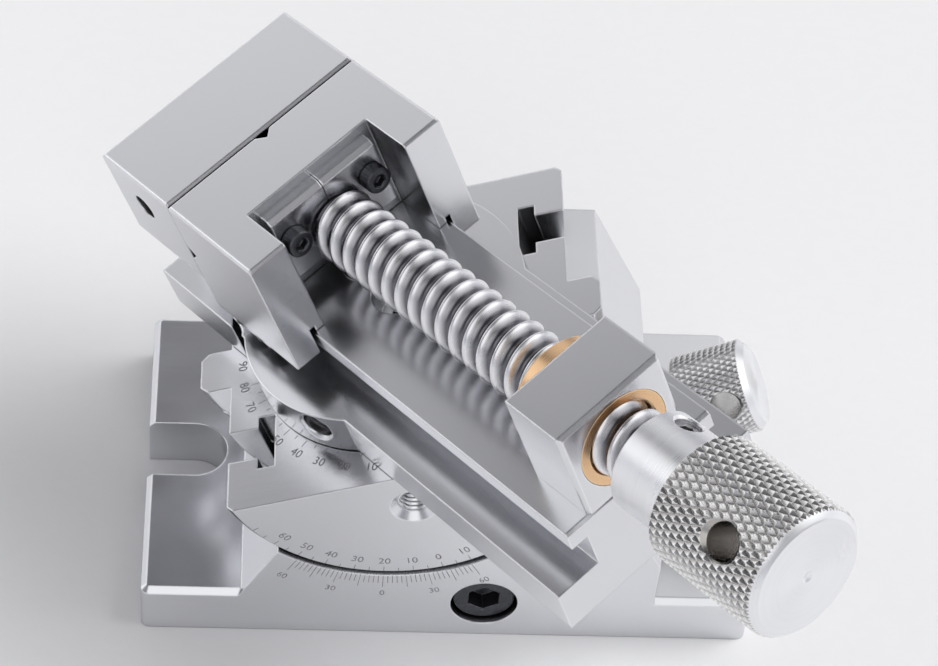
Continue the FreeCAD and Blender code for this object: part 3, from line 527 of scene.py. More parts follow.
@dataclass(frozen=True)
class MetalFinish:
    """A bare metal surface with the marks of its last machining.

    The gloss is the range of roughness, the tone the share by which the colour wanders. The edge values say
    how far, in what colour and how strongly the edges are brightened, a painted highlight along with wear.
    Draw is the pull of turned marks on the highlights. The valleys below a knurl's or thread's crests get
    painted shade, full at the lower of two radii and none at the upper, in a given colour of shade.
    Painted corner shade is what deep corners keep of the colour, corner_reach and corner_openness say what
    a deep corner is, cloud_to_metre is the size of the soft tone, and end_on the share of the normal along
    the piece past which its lines turn. Lengths are millimetres.
    """

    name: str
    colour: Colour
    gloss: tuple[float, float]
    lay: Lay
    line_depth: float
    lines_to_metre: float = 3200.0
    line_stretch: float = 45.0
    tone: float = 0.05
    edge_radius: float = 0.22
    edge_colour: Colour = (0.86, 0.87, 0.89)
    edge_strength: float = 0.8
    draw: float = 0.0
    valley: tuple[float, float] | None = None
    valley_colour: Colour = (0.2, 0.18, 0.16)
    shaded: float = 0.0
    corner_reach: float = 7.0
    corner_openness: tuple[float, float] = (0.22, 0.5)
    cloud_to_metre: Colour = (55.0, 80.0, 65.0)
    end_on: tuple[float, float] = (0.65, 0.75)

    def material(self, frame: Matrix) -> bpy.types.Material:
        """Builds the material for pieces whose own axes are those of a frame.

        Args:
            frame: The frame, or the unit matrix for a piece that is built in its own frame.

        Returns:
            The node material.
        """
        sheet = NodeSheet(self.name)
        place_on = sheet.coordinates(frame)
        lines = self.lines(sheet, place_on, frame)
        marks = sheet.math("ADD", lines, sheet.grain(place_on, self.cloud_to_metre, 2.0))
        rounded = sheet.rounded_normal(self.edge_radius)
        shade = sheet.span(marks, (0.5, 1.5), (0.0, 1.0))
        colour = sheet.blend(shade, opaque(self.colour, 1.0 - self.tone),
                             opaque(self.colour, 1.0 + self.tone))
        # Painted shade in the valleys below the crests, by distance from the axis.
        if self.valley:
            colour = self.dirty_valleys(sheet, place_on, colour)
        # Painted shade in slots and deep corners, from an occlusion test.
        if self.shaded > 0.0:
            colour = self.shaded_corners(sheet, colour)
        # The lighter edge colour is a painted highlight along with wear.
        worn = sheet.math("MULTIPLY", sheet.edge_share(rounded), self.edge_strength)
        shader = sheet.add("BsdfPrincipled", {
            "Base Color": sheet.blend(worn, colour, opaque(self.edge_colour)),
            "Metallic": 1.0,
            "Roughness": sheet.span(marks, (0.6, 1.4), self.gloss),
            "Normal": sheet.bump(lines, self.line_depth, rounded),
        })
        if self.draw > 0.0:
            shader.inputs["Anisotropic"].default_value = self.draw
            tangent = sheet.add("Tangent", direction_type="RADIAL", axis="X").outputs[0]
            sheet.tree.links.new(tangent, shader.inputs["Tangent"])
        return sheet.show(shader)

    def lines(self, sheet: NodeSheet, place_on: bpy.types.NodeSocket, frame: Matrix
              ) -> bpy.types.NodeSocket:
        """Draws the fine lines of the machining.

        Args:
            sheet: The material's sheet.
            place_on: Place on the piece.
            frame: The piece's frame.

        Returns:
            Height of the lines from 0 to 1.
        """
        fine = self.lines_to_metre
        coarse = fine / self.line_stretch
        if self.lay is Lay.ROUND:
            along_axis, radius = sheet.from_axis(place_on)
            turned = sheet.add("CombineXYZ", {0: along_axis, 1: radius}).outputs[0]
            return sheet.grain(turned, (fine, fine, fine))
        along = sheet.grain(place_on, (coarse, fine, fine))
        across = sheet.grain(place_on, (fine, coarse, fine))
        end_on = sheet.add("SeparateXYZ", {0: sheet.facing(frame)}).outputs[0]
        share = sheet.span(sheet.math("ABSOLUTE", end_on), self.end_on, (0.0, 1.0))
        inputs = {"Factor": share, 2: along, 3: across}
        return sheet.add("Mix", inputs, data_type="FLOAT").outputs[0]

    def shaded_corners(self, sheet: NodeSheet, colour: bpy.types.NodeSocket) -> bpy.types.NodeSocket:
        """Paints shade into slots and deep corners, darkening the colour where the surroundings are closed
        in.

        Args:
            sheet: The material's sheet.
            colour: Colour of the clean metal.

        Returns:
            The colour with painted shade in the corners.
        """
        reach = {"Distance": self.corner_reach * MM}
        # Painted shade: where little of the surroundings is open, the colour darkens.
        openness = sheet.add("AmbientOcclusion", reach, samples=6).outputs["AO"]
        share = sheet.span(openness, self.corner_openness, (1.0, 0.0))
        return sheet.blend(share, colour, opaque(self.colour, self.shaded))

    def dirty_valleys(self, sheet: NodeSheet, place_on: bpy.types.NodeSocket, colour: bpy.types.NodeSocket
                      ) -> bpy.types.NodeSocket:
        """Darkens the surface below the crests of a knurl or thread.

        Args:
            sheet: The material's sheet.
            place_on: Place on the piece.
            colour: Colour of the clean metal.

        Returns:
            The colour with painted shade in the valleys.
        """
        radius = sheet.from_axis(place_on)[1]
        low, high = self.valley
        # Painted shade: full at the lower radius, none at the upper.
        share = sheet.span(radius, (low * MM, high * MM), (1.0, 0.0))
        return sheet.blend(share, colour, opaque(self.valley_colour))


@dataclass(frozen=True)
class BlackOxide:
    """Blackened screw steel with worn rims."""

    name: str = "black_oxide"
    colour: Colour = (0.06, 0.062, 0.07)
    rim_colour: Colour = (0.3, 0.3, 0.32)
    rim_radius: float = 0.12
    speckle_depth: float = 0.008

    def material(self) -> bpy.types.Material:
        """Builds the material.

        Returns:
            The node material.
        """
        sheet = NodeSheet(self.name)
        place_on = sheet.coordinates(Matrix())
        speckle = sheet.grain(place_on, (2600.0, 2600.0, 2600.0))
        cloud = sheet.grain(place_on, (400.0, 400.0, 400.0))
        rounded = sheet.rounded_normal(self.rim_radius)
        colour = sheet.blend(cloud, opaque(self.colour, 0.7), opaque(self.colour, 1.5))
        return sheet.show(sheet.add("BsdfPrincipled", {
            "Base Color": sheet.blend(sheet.edge_share(rounded), colour, opaque(self.rim_colour)),
            "Metallic": 0.85,
            "Roughness": sheet.span(speckle, (0.3, 0.7), (0.24, 0.42)),
            "Normal": sheet.bump(speckle, self.speckle_depth, rounded),
        }))


@dataclass(frozen=True)
class EngravingInk:
    """Grey filling of engraved lines and numbers."""

    name: str = "engraving_ink"
    colour: Colour = (0.15, 0.15, 0.16)

    def material(self) -> bpy.types.Material:
        """Builds the material.

        Returns:
            The node material.
        """
        sheet = NodeSheet(self.name)
        wear = sheet.grain(sheet.coordinates(Matrix()), (900.0, 900.0, 900.0))
        worn = sheet.span(wear, (0.35, 0.75), (0.0, 1.0))
        return sheet.show(sheet.add("BsdfPrincipled", {
            "Base Color": sheet.blend(worn, opaque(self.colour), opaque(self.colour, 2.2)),
            "Roughness": sheet.span(wear, (0.3, 0.7), (0.5, 0.8)),
        }))


@dataclass(frozen=True)
class TableTop:
    """Plain pale table top with a faint fibre."""

    name: str = "table_top"
    colour: Colour = (0.83, 0.83, 0.835)

    def material(self) -> bpy.types.Material:
        """Builds the material.

        Returns:
            The node material.
        """
        sheet = NodeSheet(self.name)
        fibre = sheet.grain(sheet.coordinates(Matrix()), (300.0, 420.0, 300.0))
        colour = sheet.blend(fibre, opaque(self.colour, 0.985), opaque(self.colour, 1.015))
        return sheet.show(sheet.add("BsdfPrincipled", {"Base Color": colour, "Roughness": 0.7}))


# The lighter edge colour is a painted highlight along with wear, and deep corners keep 0.3 of the colour as
# painted shade.
GROUND_STEEL = MetalFinish(
    "ground_steel", (0.74, 0.745, 0.768), (0.2, 0.25), Lay.LENGTHWISE, 0.0003, tone=0.02,
    edge_radius=0.4, edge_colour=(0.93, 0.935, 0.95), edge_strength=1.0, shaded=0.3)
TURNED_STEEL = MetalFinish("turned_steel", (0.83, 0.835, 0.85), (0.16, 0.24), Lay.ROUND, 0.002)
# The dark colour of the valleys is painted shade between the thread's crests.
THREAD_STEEL = MetalFinish(
    "thread_steel", (0.8, 0.8, 0.82), (0.2, 0.34), Lay.ROUND, 0.006, 1400.0,
    edge_strength=0.2, valley=(4.75, 5.6), valley_colour=(0.16, 0.16, 0.175))
FACED_STEEL = MetalFinish(
    "faced_steel", (0.87, 0.875, 0.89), (0.24, 0.36), Lay.ROUND, 0.004, 2200.0, draw=0.6)
# The knurls' dark colours in the valleys are painted shade between the diamonds.
KNURLED_STEEL = MetalFinish(
    "knurled_steel", (0.93, 0.925, 0.915), (0.22, 0.34), Lay.ROUND, 0.004, 2600.0,
    edge_radius=0.1, valley=(9.9, 10.2), valley_colour=(0.46, 0.44, 0.42))
FINE_KNURLED_STEEL = MetalFinish(
    "fine_knurled_steel", (0.94, 0.935, 0.93), (0.22, 0.34), Lay.ROUND, 0.004, 2600.0,
    edge_radius=0.08, valley=(7.55, 7.8), valley_colour=(0.5, 0.49, 0.48))
SCREW_STEEL = MetalFinish(
    "screw_steel", (0.36, 0.36, 0.375), (0.26, 0.38), Lay.ROUND, 0.003, 2600.0,
    edge_radius=0.1, edge_colour=(0.7, 0.7, 0.72))
BRONZE = MetalFinish(
    "bronze", (0.82, 0.54, 0.31), (0.2, 0.32), Lay.ROUND, 0.004, 2400.0, edge_colour=(0.95, 0.78, 0.5))


@dataclass(frozen=True)
class Thread:
    """A screw thread round the X axis, right-handed."""

    crest: float
    root: float
    pitch: float
    crest_at: float
    rise: Callable[[float], float]

    def radius(self, x: float, angle: float) -> float:
        """Radius of the thread.

        Args:
            x: Place along the axis.
            angle: Angle in radians from Y towards Z.

        Returns:
            The radius there.
        """
        turns = (x - self.crest_at) / self.pitch - angle / FULL_TURN + 0.5
        return self.root + (self.crest - self.root) * self.rise(turns - math.floor(turns))

    def point(self, x: float, angle: float) -> Vector:
        """Point of the thread at a place along the axis and an angle."""
        radius = self.radius(x, angle)
        return Vector((x, radius * math.cos(angle), radius * math.sin(angle)))

    def bar(self, name: str, reach: tuple[float, float], frame: Matrix, count: int = 72,
            rows_to_turn: int = 14) -> bpy.types.Object:
        """Builds a threaded bar a little longer than asked, to be cut to shape.

        Its rows of points follow the helix, so each turn of points ends rows_to_turn rows further on.

        Args:
            name: Name of the piece.
            reach: First and last place along the axis that must be threaded.
            frame: Frame in which it stands.
            count: Points round the axis.
            rows_to_turn: Rows of points in each pitch.

        Returns:
            The closed bar.
        """
        step = self.pitch / rows_to_turn
        first = math.floor((reach[0] - self.crest_at) / step) - rows_to_turn - 1
        rows = math.ceil((reach[1] - reach[0]) / step) + 2 * rows_to_turn + 3
        points = []
        for row in range(rows):
            for index in range(count):
                x = self.crest_at + (first + row) * step + self.pitch * index / count
                points.append(self.point(x, FULL_TURN * index / count))
        return new_piece(name, points, self.bar_faces(count, rows, rows_to_turn), frame, 50.0)

    @staticmethod
    def bar_faces(count: int, rows: int, rows_to_turn: int) -> list[list[int]]:
        """Faces of the threaded bar with its two end caps.

        Args:
            count: Points round the axis.
            rows: Rows of points.
            rows_to_turn: Rows of points in each pitch.

        Returns:
            The faces.
        """
        faces = []
        for row in range(rows - 1):
            for index in range(count - 1):
                low = row * count + index
                faces.append([low, low + 1, low + count + 1, low + count])
        for row in range(rows - 1 - rows_to_turn):
            low = row * count + count - 1
            over = (row + rows_to_turn) * count
            faces.append([low, over, over + count, low + count])
        near_seam = [row * count for row in range(rows_to_turn + 1)]
        faces.append(near_seam + list(range(count - 1, 0, -1)))
        far = rows - 1 - rows_to_turn
        far_seam = [(far + row) * count + count - 1 for row in range(rows_to_turn, -1, -1)]
        last_row = [(rows - 1) * count + index for index in range(count - 2, -1, -1)]
        faces.append(far_seam + last_row)
        return faces


def rope_rise(share: float) -> float:
    """Height of a thread with narrow round crests and wide round valleys over one pitch."""
    return (0.5 - 0.5 * math.cos(FULL_TURN * share)) ** 1.7


def worm_rise(share: float, foot: float = 0.22, flank: float = 0.12) -> float:
    """Height of the worm's trapezoid thread over one pitch.

    Args:
        share: Place in the pitch from 0 to 1, the crest at one half.
        foot: Distance of the thread's foot from the middle of its crest.
        flank: Width of its flank.

    Returns:
        The height from 0 to 1.
    """
    return min(1.0, max(0.0, (foot - abs(share - 0.5)) / flank))


@dataclass(frozen=True)
class Knurl:
    """Diamond knurl round the X axis: flat-topped pyramids between crossing grooves."""

    radius: float
    depth: float
    diamonds: int
    half_length: float
    flat_share: float = 0.22

    def bar(self, name: str, start: float, end: float, frame: Matrix) -> bpy.types.Object:
        """Builds a knurled bar a little longer than asked, to be cut to shape.

        Args:
            name: Name of the piece.
            start: First place along the axis that must be knurled.
            end: Last such place.
            frame: Frame in which it stands.

        Returns:
            The closed bar.
        """
        columns = 2 * self.diamonds
        rows = math.ceil((end - start) / self.half_length) + 3
        floor_radius = self.radius - self.depth
        net = [(row, column) for row in range(rows) for column in range(columns)]
        points = [self.point(start, row, column, floor_radius) for row, column in net]
        faces = []
        for middle in net:
            if sum(middle) % 2 == 1:
                faces.extend(self.diamond(points, start, middle, rows))
        for row in (0, rows - 1):
            points.append(Vector((self.place_of(start, row), 0.0, 0.0)))
            centre = len(points) - 1
            rim = [row * columns + column for column in range(columns) if (row + column) % 2 == 0]
            faces.extend([centre, rim[index], rim[(index + 1) % len(rim)]] for index in range(len(rim)))
        used = sorted({corner for face in faces for corner in face})
        renumbered = {old: new for new, old in enumerate(used)}
        kept_faces = [[renumbered[corner] for corner in face] for face in faces]
        return new_piece(name, [points[old] for old in used], kept_faces, frame, 25.0)

    def diamond(self, points: list[Vector], start: float, middle: tuple[int, int], rows: int
                ) -> list[list[int]]:
        """Makes the pyramid round one place of the net; at the bar's ends only a plain triangle.

        Args:
            points: The net's points, to which the pyramid's flat top is added.
            start: First place along the axis that must be knurled.
            middle: Row and column of the pyramid's middle.
            rows: Number of rows.

        Returns:
            The pyramid's faces.
        """
        row, column = middle
        columns = 2 * self.diamonds
        corners = [(row, column - 1), (row + 1, column), (row, column + 1), (row - 1, column)]
        inside = [corner for corner in corners if 0 <= corner[0] < rows]
        outer = [corner[0] * columns + corner[1] % columns for corner in inside]
        if len(inside) < len(corners):
            return [outer]
        inner = []
        for corner_row, corner_column in corners:
            inner.append(len(points))
            near_row = row + (corner_row - row) * self.flat_share
            near_column = column + (corner_column - column) * self.flat_share
            points.append(self.point(start, near_row, near_column, self.radius))
        sides = []
        for index in range(4):
            after = (index + 1) % 4
            sides.append([outer[index], outer[after], inner[after], inner[index]])
        return sides + [inner]

    def place_of(self, start: float, row: float) -> float:
        """Place along the axis of a row of the knurl."""
        return start + (row - 1) * self.half_length

    def point(self, start: float, row: float, column: float, radius: float) -> Vector:
        """Point of the knurl's net at a row, a column and a radius."""
        angle = math.pi * column / self.diamonds
        return Vector((self.place_of(start, row), radius * math.cos(angle), radius * math.sin(angle)))


def cross_hole_tool(position: float, turn: float, outer_radius: float, radius: float, countersink: float,
                    frame: Matrix) -> bpy.types.Object:
    """Makes the shape of a hole across a round grip, countersunk at both mouths.

    Args:
        position: Place along the grip's axis.
        turn: Angle in degrees about the axis, from Z towards Y.
        outer_radius: Radius of the grip.
        radius: Radius of the hole.
        countersink: Depth of the countersinks below the grip's rim.
        frame: Frame of the grip.

    Returns:
        The tool for taking the hole away.
    """
    reach = outer_radius + 2.0
    sink = outer_radius - radius ** 2 / (2.0 * outer_radius) - countersink
    wide = radius + reach - sink
    profile = [(-reach, 0.0), (-reach, wide), (-sink, radius), (sink, radius), (reach, wide), (reach, 0.0)]
    upright = Matrix.Rotation(math.radians(-90.0), 4, "Y")
    turned = Matrix.Rotation(math.radians(-turn), 4, "X")
    where = frame @ Matrix.Translation(Vector((position * MM, 0.0, 0.0))) @ turned @ upright
    return lathe("hole_tool", profile, where, 64)


@dataclass(frozen=True)
class CapScrew:
    """Socket head cap screw: its head's underside is at zero and its shank runs along +X."""

    head_radius: float
    head_height: float
    shank_radius: float
    length: float
    socket_width: float
    socket_depth: float
    rim: float = 0.35
    rim_round: float = 0.35
    flutes: int = 32
    flute_end: float = 0.3
    flute_depth: float = 0.12
    socket_chamfer: float = 0.12
    socket_rim: float = 0.2
    underside_rim: float = 0.25
    tip_chamfer: float = 0.4
    drill_point: float = 0.25

    def build(self, name: str, frame: Matrix) -> bpy.types.Object:
        """Builds the screw.

        Args:
            name: Name of the piece.
            frame: Frame of the screw.

        Returns:
            The new object.
        """
        count = 3 * self.flutes
        top = -self.head_height
        socket_floor = top + self.socket_depth
        mouth = self.socket_width / math.sqrt(3.0) + self.socket_chamfer
        hexagon = hexagon_radius(self.socket_width)
        flute = fluted_radius(self.head_radius, self.flute_depth, self.flutes)
        rings = [
            shaped_ring(socket_floor, hexagon, count),
            shaped_ring(top + self.socket_rim, hexagon, count),
            circle(top, mouth, count),
            circle(top, self.head_radius - self.rim, count),
            circle(top + self.rim * self.rim_round, self.head_radius - self.rim * self.rim_round, count),
            circle(top + self.rim, self.head_radius, count),
            shaped_ring(top + self.rim + self.socket_rim, flute, count),
            shaped_ring(-self.flute_end, flute, count),
            circle(0.0, self.head_radius - self.underside_rim, count),
            circle(0.0, self.shank_radius, count),
            circle(self.length - self.tip_chamfer, self.shank_radius, count),
            circle(self.length, self.shank_radius - self.tip_chamfer, count),
        ]
        socket_end = socket_floor + self.socket_width * self.drill_point
        return turned_piece(name, rings, (socket_end, self.length), frame)


@dataclass(frozen=True)
class SetScrew:
    """Headless screw with a key socket: its socket end is at zero and it runs along +X."""

    radius: float
    length: float
    socket_width: float
    point_radius: float
    thread_pitch: float = 0.8
    thread_depth_share: float = 0.4
    chamfer: float = 0.35
    socket_chamfer: float = 0.08
    socket_rim: float = 0.12
    socket_share: float = 0.35
    drill_point: float = 0.25

    def build(self, name: str, frame: Matrix) -> bpy.types.Object:
        """Builds the screw.

        Args:
            name: Name of the piece.
            frame: Frame of the screw.

        Returns:
            The new object.
        """
        count = 48
        floor = self.length * self.socket_share
        hexagon = hexagon_radius(self.socket_width)
        root = self.radius - self.thread_pitch * self.thread_depth_share
        rings = [
            shaped_ring(floor, hexagon, count),
            shaped_ring(self.socket_rim, hexagon, count),
            circle(0.0, self.socket_width / math.sqrt(3.0) + self.socket_chamfer, count),
            circle(0.0, self.radius - self.chamfer, count),
            circle(self.chamfer, self.radius, count),
        ]
        x = self.chamfer
        while x + self.thread_pitch < self.length - (self.radius - self.point_radius):
            rings.append(circle(x + self.thread_pitch * 0.5, root, count))
            x += self.thread_pitch
            rings.append(circle(x, self.radius, count))
        rings.append(circle(self.length, self.point_radius, count))
        socket_end = floor + self.socket_width * self.drill_point
        return turned_piece(name, rings, (socket_end, self.length), frame)


def screw_frame(frame: Matrix, position: Sequence[float], direction: Sequence[float]) -> Matrix:
    """Makes the frame of a screw that stands in a sub-assembly.

    Args:
        frame: Frame of the sub-assembly.
        position: Origin of the screw in it, in millimetres.
        direction: Direction of the screw's shank in it.

    Returns:
        The frame of the screw.
    """
    along = Vector(direction).normalized()
    upward = Vector((0.0, 0.0, 1.0)) if abs(along.z) < 0.9 else Vector((0.0, 1.0, 0.0))
    return frame @ axes_frame(Vector(position) * MM, along, upward)


def joined(name: str, pieces: Sequence[bpy.types.Object], frame: Matrix) -> bpy.types.Object:
    """Joins identical pieces into one object.

    Args:
        name: Name of the joined piece.
        pieces: The pieces, which go.
        frame: Frame of the joined piece.

    Returns:
        The joined piece.
    """
    inverse = frame.inverted()
    work = bmesh.new()
    for piece in pieces:
        piece.data.transform(inverse @ piece.matrix_world)
        work.from_mesh(piece.data)
    mesh = bpy.data.meshes.new(name)
    work.to_mesh(mesh)
    work.free()
    for piece in pieces:
        bpy.data.objects.remove(piece)
    finish_mesh(mesh, 32.0)
    whole = bpy.data.objects.new(name, mesh)
    bpy.context.scene.collection.objects.link(whole)
    whole.matrix_world = frame
    return whole


@dataclass
class Engraving:
    """Filled lines and numbers on one face, gathered into one thin mesh."""

    name: str
    frame: Matrix
    ink_height: float = 0.012

    def __post_init__(self) -> None:
        """Starts with no lines."""
        self.points: list[Vector] = []
        self.faces: list[list[int]] = []

    def line(self, start: Vector, end: Vector, normal: Vector, width: float) -> None:
        """Adds a thin filled line.

        Args:
            start: One end, on the surface.
            end: The other end, on the surface.
            normal: Direction out of the surface.
            width: Width of the line.
        """
        side = (end - start).cross(normal).normalized() * (width / 2.0)
        lift = normal.normalized() * self.ink_height
        corners = [start - side, start + side, end + side, end - side]
        base = len(self.points)
        self.points.extend(corner + lift for corner in corners)
        self.points.extend(corner - lift for corner in corners)
        self.faces.append([base, base + 1, base + 2, base + 3])
        self.faces.append([base + 7, base + 6, base + 5, base + 4])
        for index in range(4):
            after = (index + 1) % 4
            self.faces.append([base + index, base + 4 + index, base + 4 + after, base + after])

    def number(self, text: str, centre: Vector, rightward: Vector, normal: Vector, height: float) -> None:
        """Adds a number.

        Args:
            text: The digits.
            centre: Middle of the number, on the surface.
            rightward: Reading direction.
            normal: Direction out of the surface.
            height: Height of the digits.
        """
        curve = bpy.data.curves.new("digits", "FONT")
        curve.body = text
        curve.align_x = "CENTER"
        curve.align_y = "CENTER"
        curve.size = height * DIGIT_SIZE_TO_HEIGHT
        curve.extrude = self.ink_height
        curve.resolution_u = 3
        writer = bpy.data.objects.new("digits", curve)
        bpy.context.scene.collection.objects.link(writer)
        bpy.context.view_layer.update()
        mesh = bpy.data.meshes.new_from_object(writer)
        across = rightward.normalized()
        outward = normal.normalized()
        upward = outward.cross(across)
        base = len(self.points)
        for vertex in mesh.vertices:
            flat = vertex.co
            self.points.append(centre + across * flat.x + upward * flat.y + outward * flat.z)
        self.faces.extend([base + corner for corner in face.vertices] for face in mesh.polygons)
        bpy.data.objects.remove(writer)
        bpy.data.meshes.remove(mesh)
        bpy.data.curves.remove(curve)

    def build(self, body: Body, ink: bpy.types.Material) -> bpy.types.Object:
        """Makes the engraving's piece and places it on its body.

        Args:
            body: The body that carries the scale.
            ink: Material of the filling.

        Returns:
            The piece.
        """
        piece = new_piece(self.name, self.points, self.faces, self.frame)
        place(piece, body, ink)
        return piece


@dataclass(frozen=True)
class Palette:
    """The finishes of the vise as materials."""

    base_ground: bpy.types.Material
    segment_ground: bpy.types.Material
    vise_ground: bpy.types.Material
    turned: bpy.types.Material
    thread: bpy.types.Material
    faced: bpy.types.Material
    knurled: bpy.types.Material
    fine_knurled: bpy.types.Material
    worm_turned: bpy.types.Material
    vise_bronze: bpy.types.Material
    screw_steel: bpy.types.Material
    black: bpy.types.Material
    ink: bpy.types.Material

    @classmethod
    def mixed(cls, frames: Frames) -> "Palette":
        """Mixes the finishes for the frames of the vise.

        Args:
            frames: The frames of the CAD nodes that keep their own meshes.

        Returns:
            The palette.
        """
        own = Matrix()
        return cls(
            base_ground=GROUND_STEEL.material(own),
            segment_ground=GROUND_STEEL.material(frames.segment),
            vise_ground=GROUND_STEEL.material(frames.vise),
            turned=TURNED_STEEL.material(own),
            thread=THREAD_STEEL.material(own),
            faced=FACED_STEEL.material(own),
            knurled=KNURLED_STEEL.material(own),
            fine_knurled=FINE_KNURLED_STEEL.material(own),
            worm_turned=TURNED_STEEL.material(frames.worm),
            vise_bronze=BRONZE.material(own),
            screw_steel=SCREW_STEEL.material(own),
            black=BlackOxide().material(),
            ink=EngravingInk().material(),
        )


def dress_end(piece: bpy.types.Object, material: bpy.types.Material, beyond: float, slack: float = 0.05,
              least_facing: float = 0.6) -> None:
    """Gives the end face and bevel of a turned piece their own finish.

    Args:
        piece: The piece, turned round its X axis.
        material: The finish of its end.
        beyond: Place along the axis where the end begins.
        slack: Distance by which a face's middle may lie before that place.
        least_facing: Part of a face's normal along the axis that an end face or bevel has at least.
    """
    piece.data.materials.append(material)
    for face in piece.data.polygons:
        if face.center.x > (beyond - slack) * MM and face.normal.x > least_facing:
            face.material_index = 1


def dress_nodes(nodes: dict, names: Sequence[str], material: bpy.types.Material) -> None:
    """Gives CAD nodes a finish.

    Args:
        nodes: The CAD objects by name.
        names: The nodes to dress.
        material: Their finish.
    """
    for name in names:
        for slot in nodes[name].material_slots:
            slot.material = material
        LOG.info("%s dressed in %s", name, material.name)


@dataclass
class BaseAssembly:
    """The base with its lock screw, bush and vernier."""

    frames: Frames
    palette: Palette
    nodes: dict
    front: float = -29.5
    lock_x: float = 5.9
    lock_z: float = 8.5
    lock_seat: float = -22.6
    seat_radius: float = 28.95
    division_angle: float = 1.45
    divisions: int = 20
    line_gap: float = 0.05
    short_line: float = 2.0
    long_line: float = 3.1
    minutes_to_division: int = 3
    number_radius: float = 33.7
    number_height: float = 1.25
    line_width: float = 0.11

    def build(self) -> None:
        """Dresses the base and builds its small pieces."""
        dress_nodes(self.nodes, ["base_block"], self.palette.base_ground)
        dress_nodes(self.nodes, ["worm_bushing"], self.palette.worm_turned)
        dress_nodes(self.nodes, ["lock_pad"], self.palette.vise_bronze)
        screw = CapScrew(head_radius=5.0, head_height=6.0, shank_radius=3.0, length=12.2, socket_width=5.0,
                         socket_depth=3.0)
        where = screw_frame(Matrix(), (self.lock_x, self.lock_seat, self.lock_z), (0, 1, 0))
        place(screw.build("base_lock_cap_screw", where), Body.LOCK_SCREW, self.palette.black,
              ["tilt_lock_screw"])
        self.vernier()

    def vernier(self) -> None:
        """Engraves the vernier beside the trough."""
        centre = self.frames.segment.to_translation() / MM
        marks = Engraving("vernier_scale", Matrix())
        normal = Vector((0.0, -1.0, 0.0))
        for index in range(-self.divisions, self.divisions + 1):
            angle = math.radians(index * self.division_angle)
            away = Vector((math.sin(angle), 0.0, -math.cos(angle)))
            origin = Vector((centre.x, self.front, centre.z))
            length = self.long_line if index % 5 == 0 else self.short_line
            start = origin + away * (self.seat_radius + self.line_gap)
            marks.line(start, origin + away * (self.seat_radius + length), normal, self.line_width)
            if index % 10 == 0:
                minutes = str(self.minutes_to_division * abs(index))
                middle = origin + away * self.number_radius
                rightward = Vector((math.cos(angle), 0.0, math.sin(angle)))
                marks.number(minutes, middle, rightward, normal, self.number_height)
        marks.build(Body.BASE, self.palette.ink)


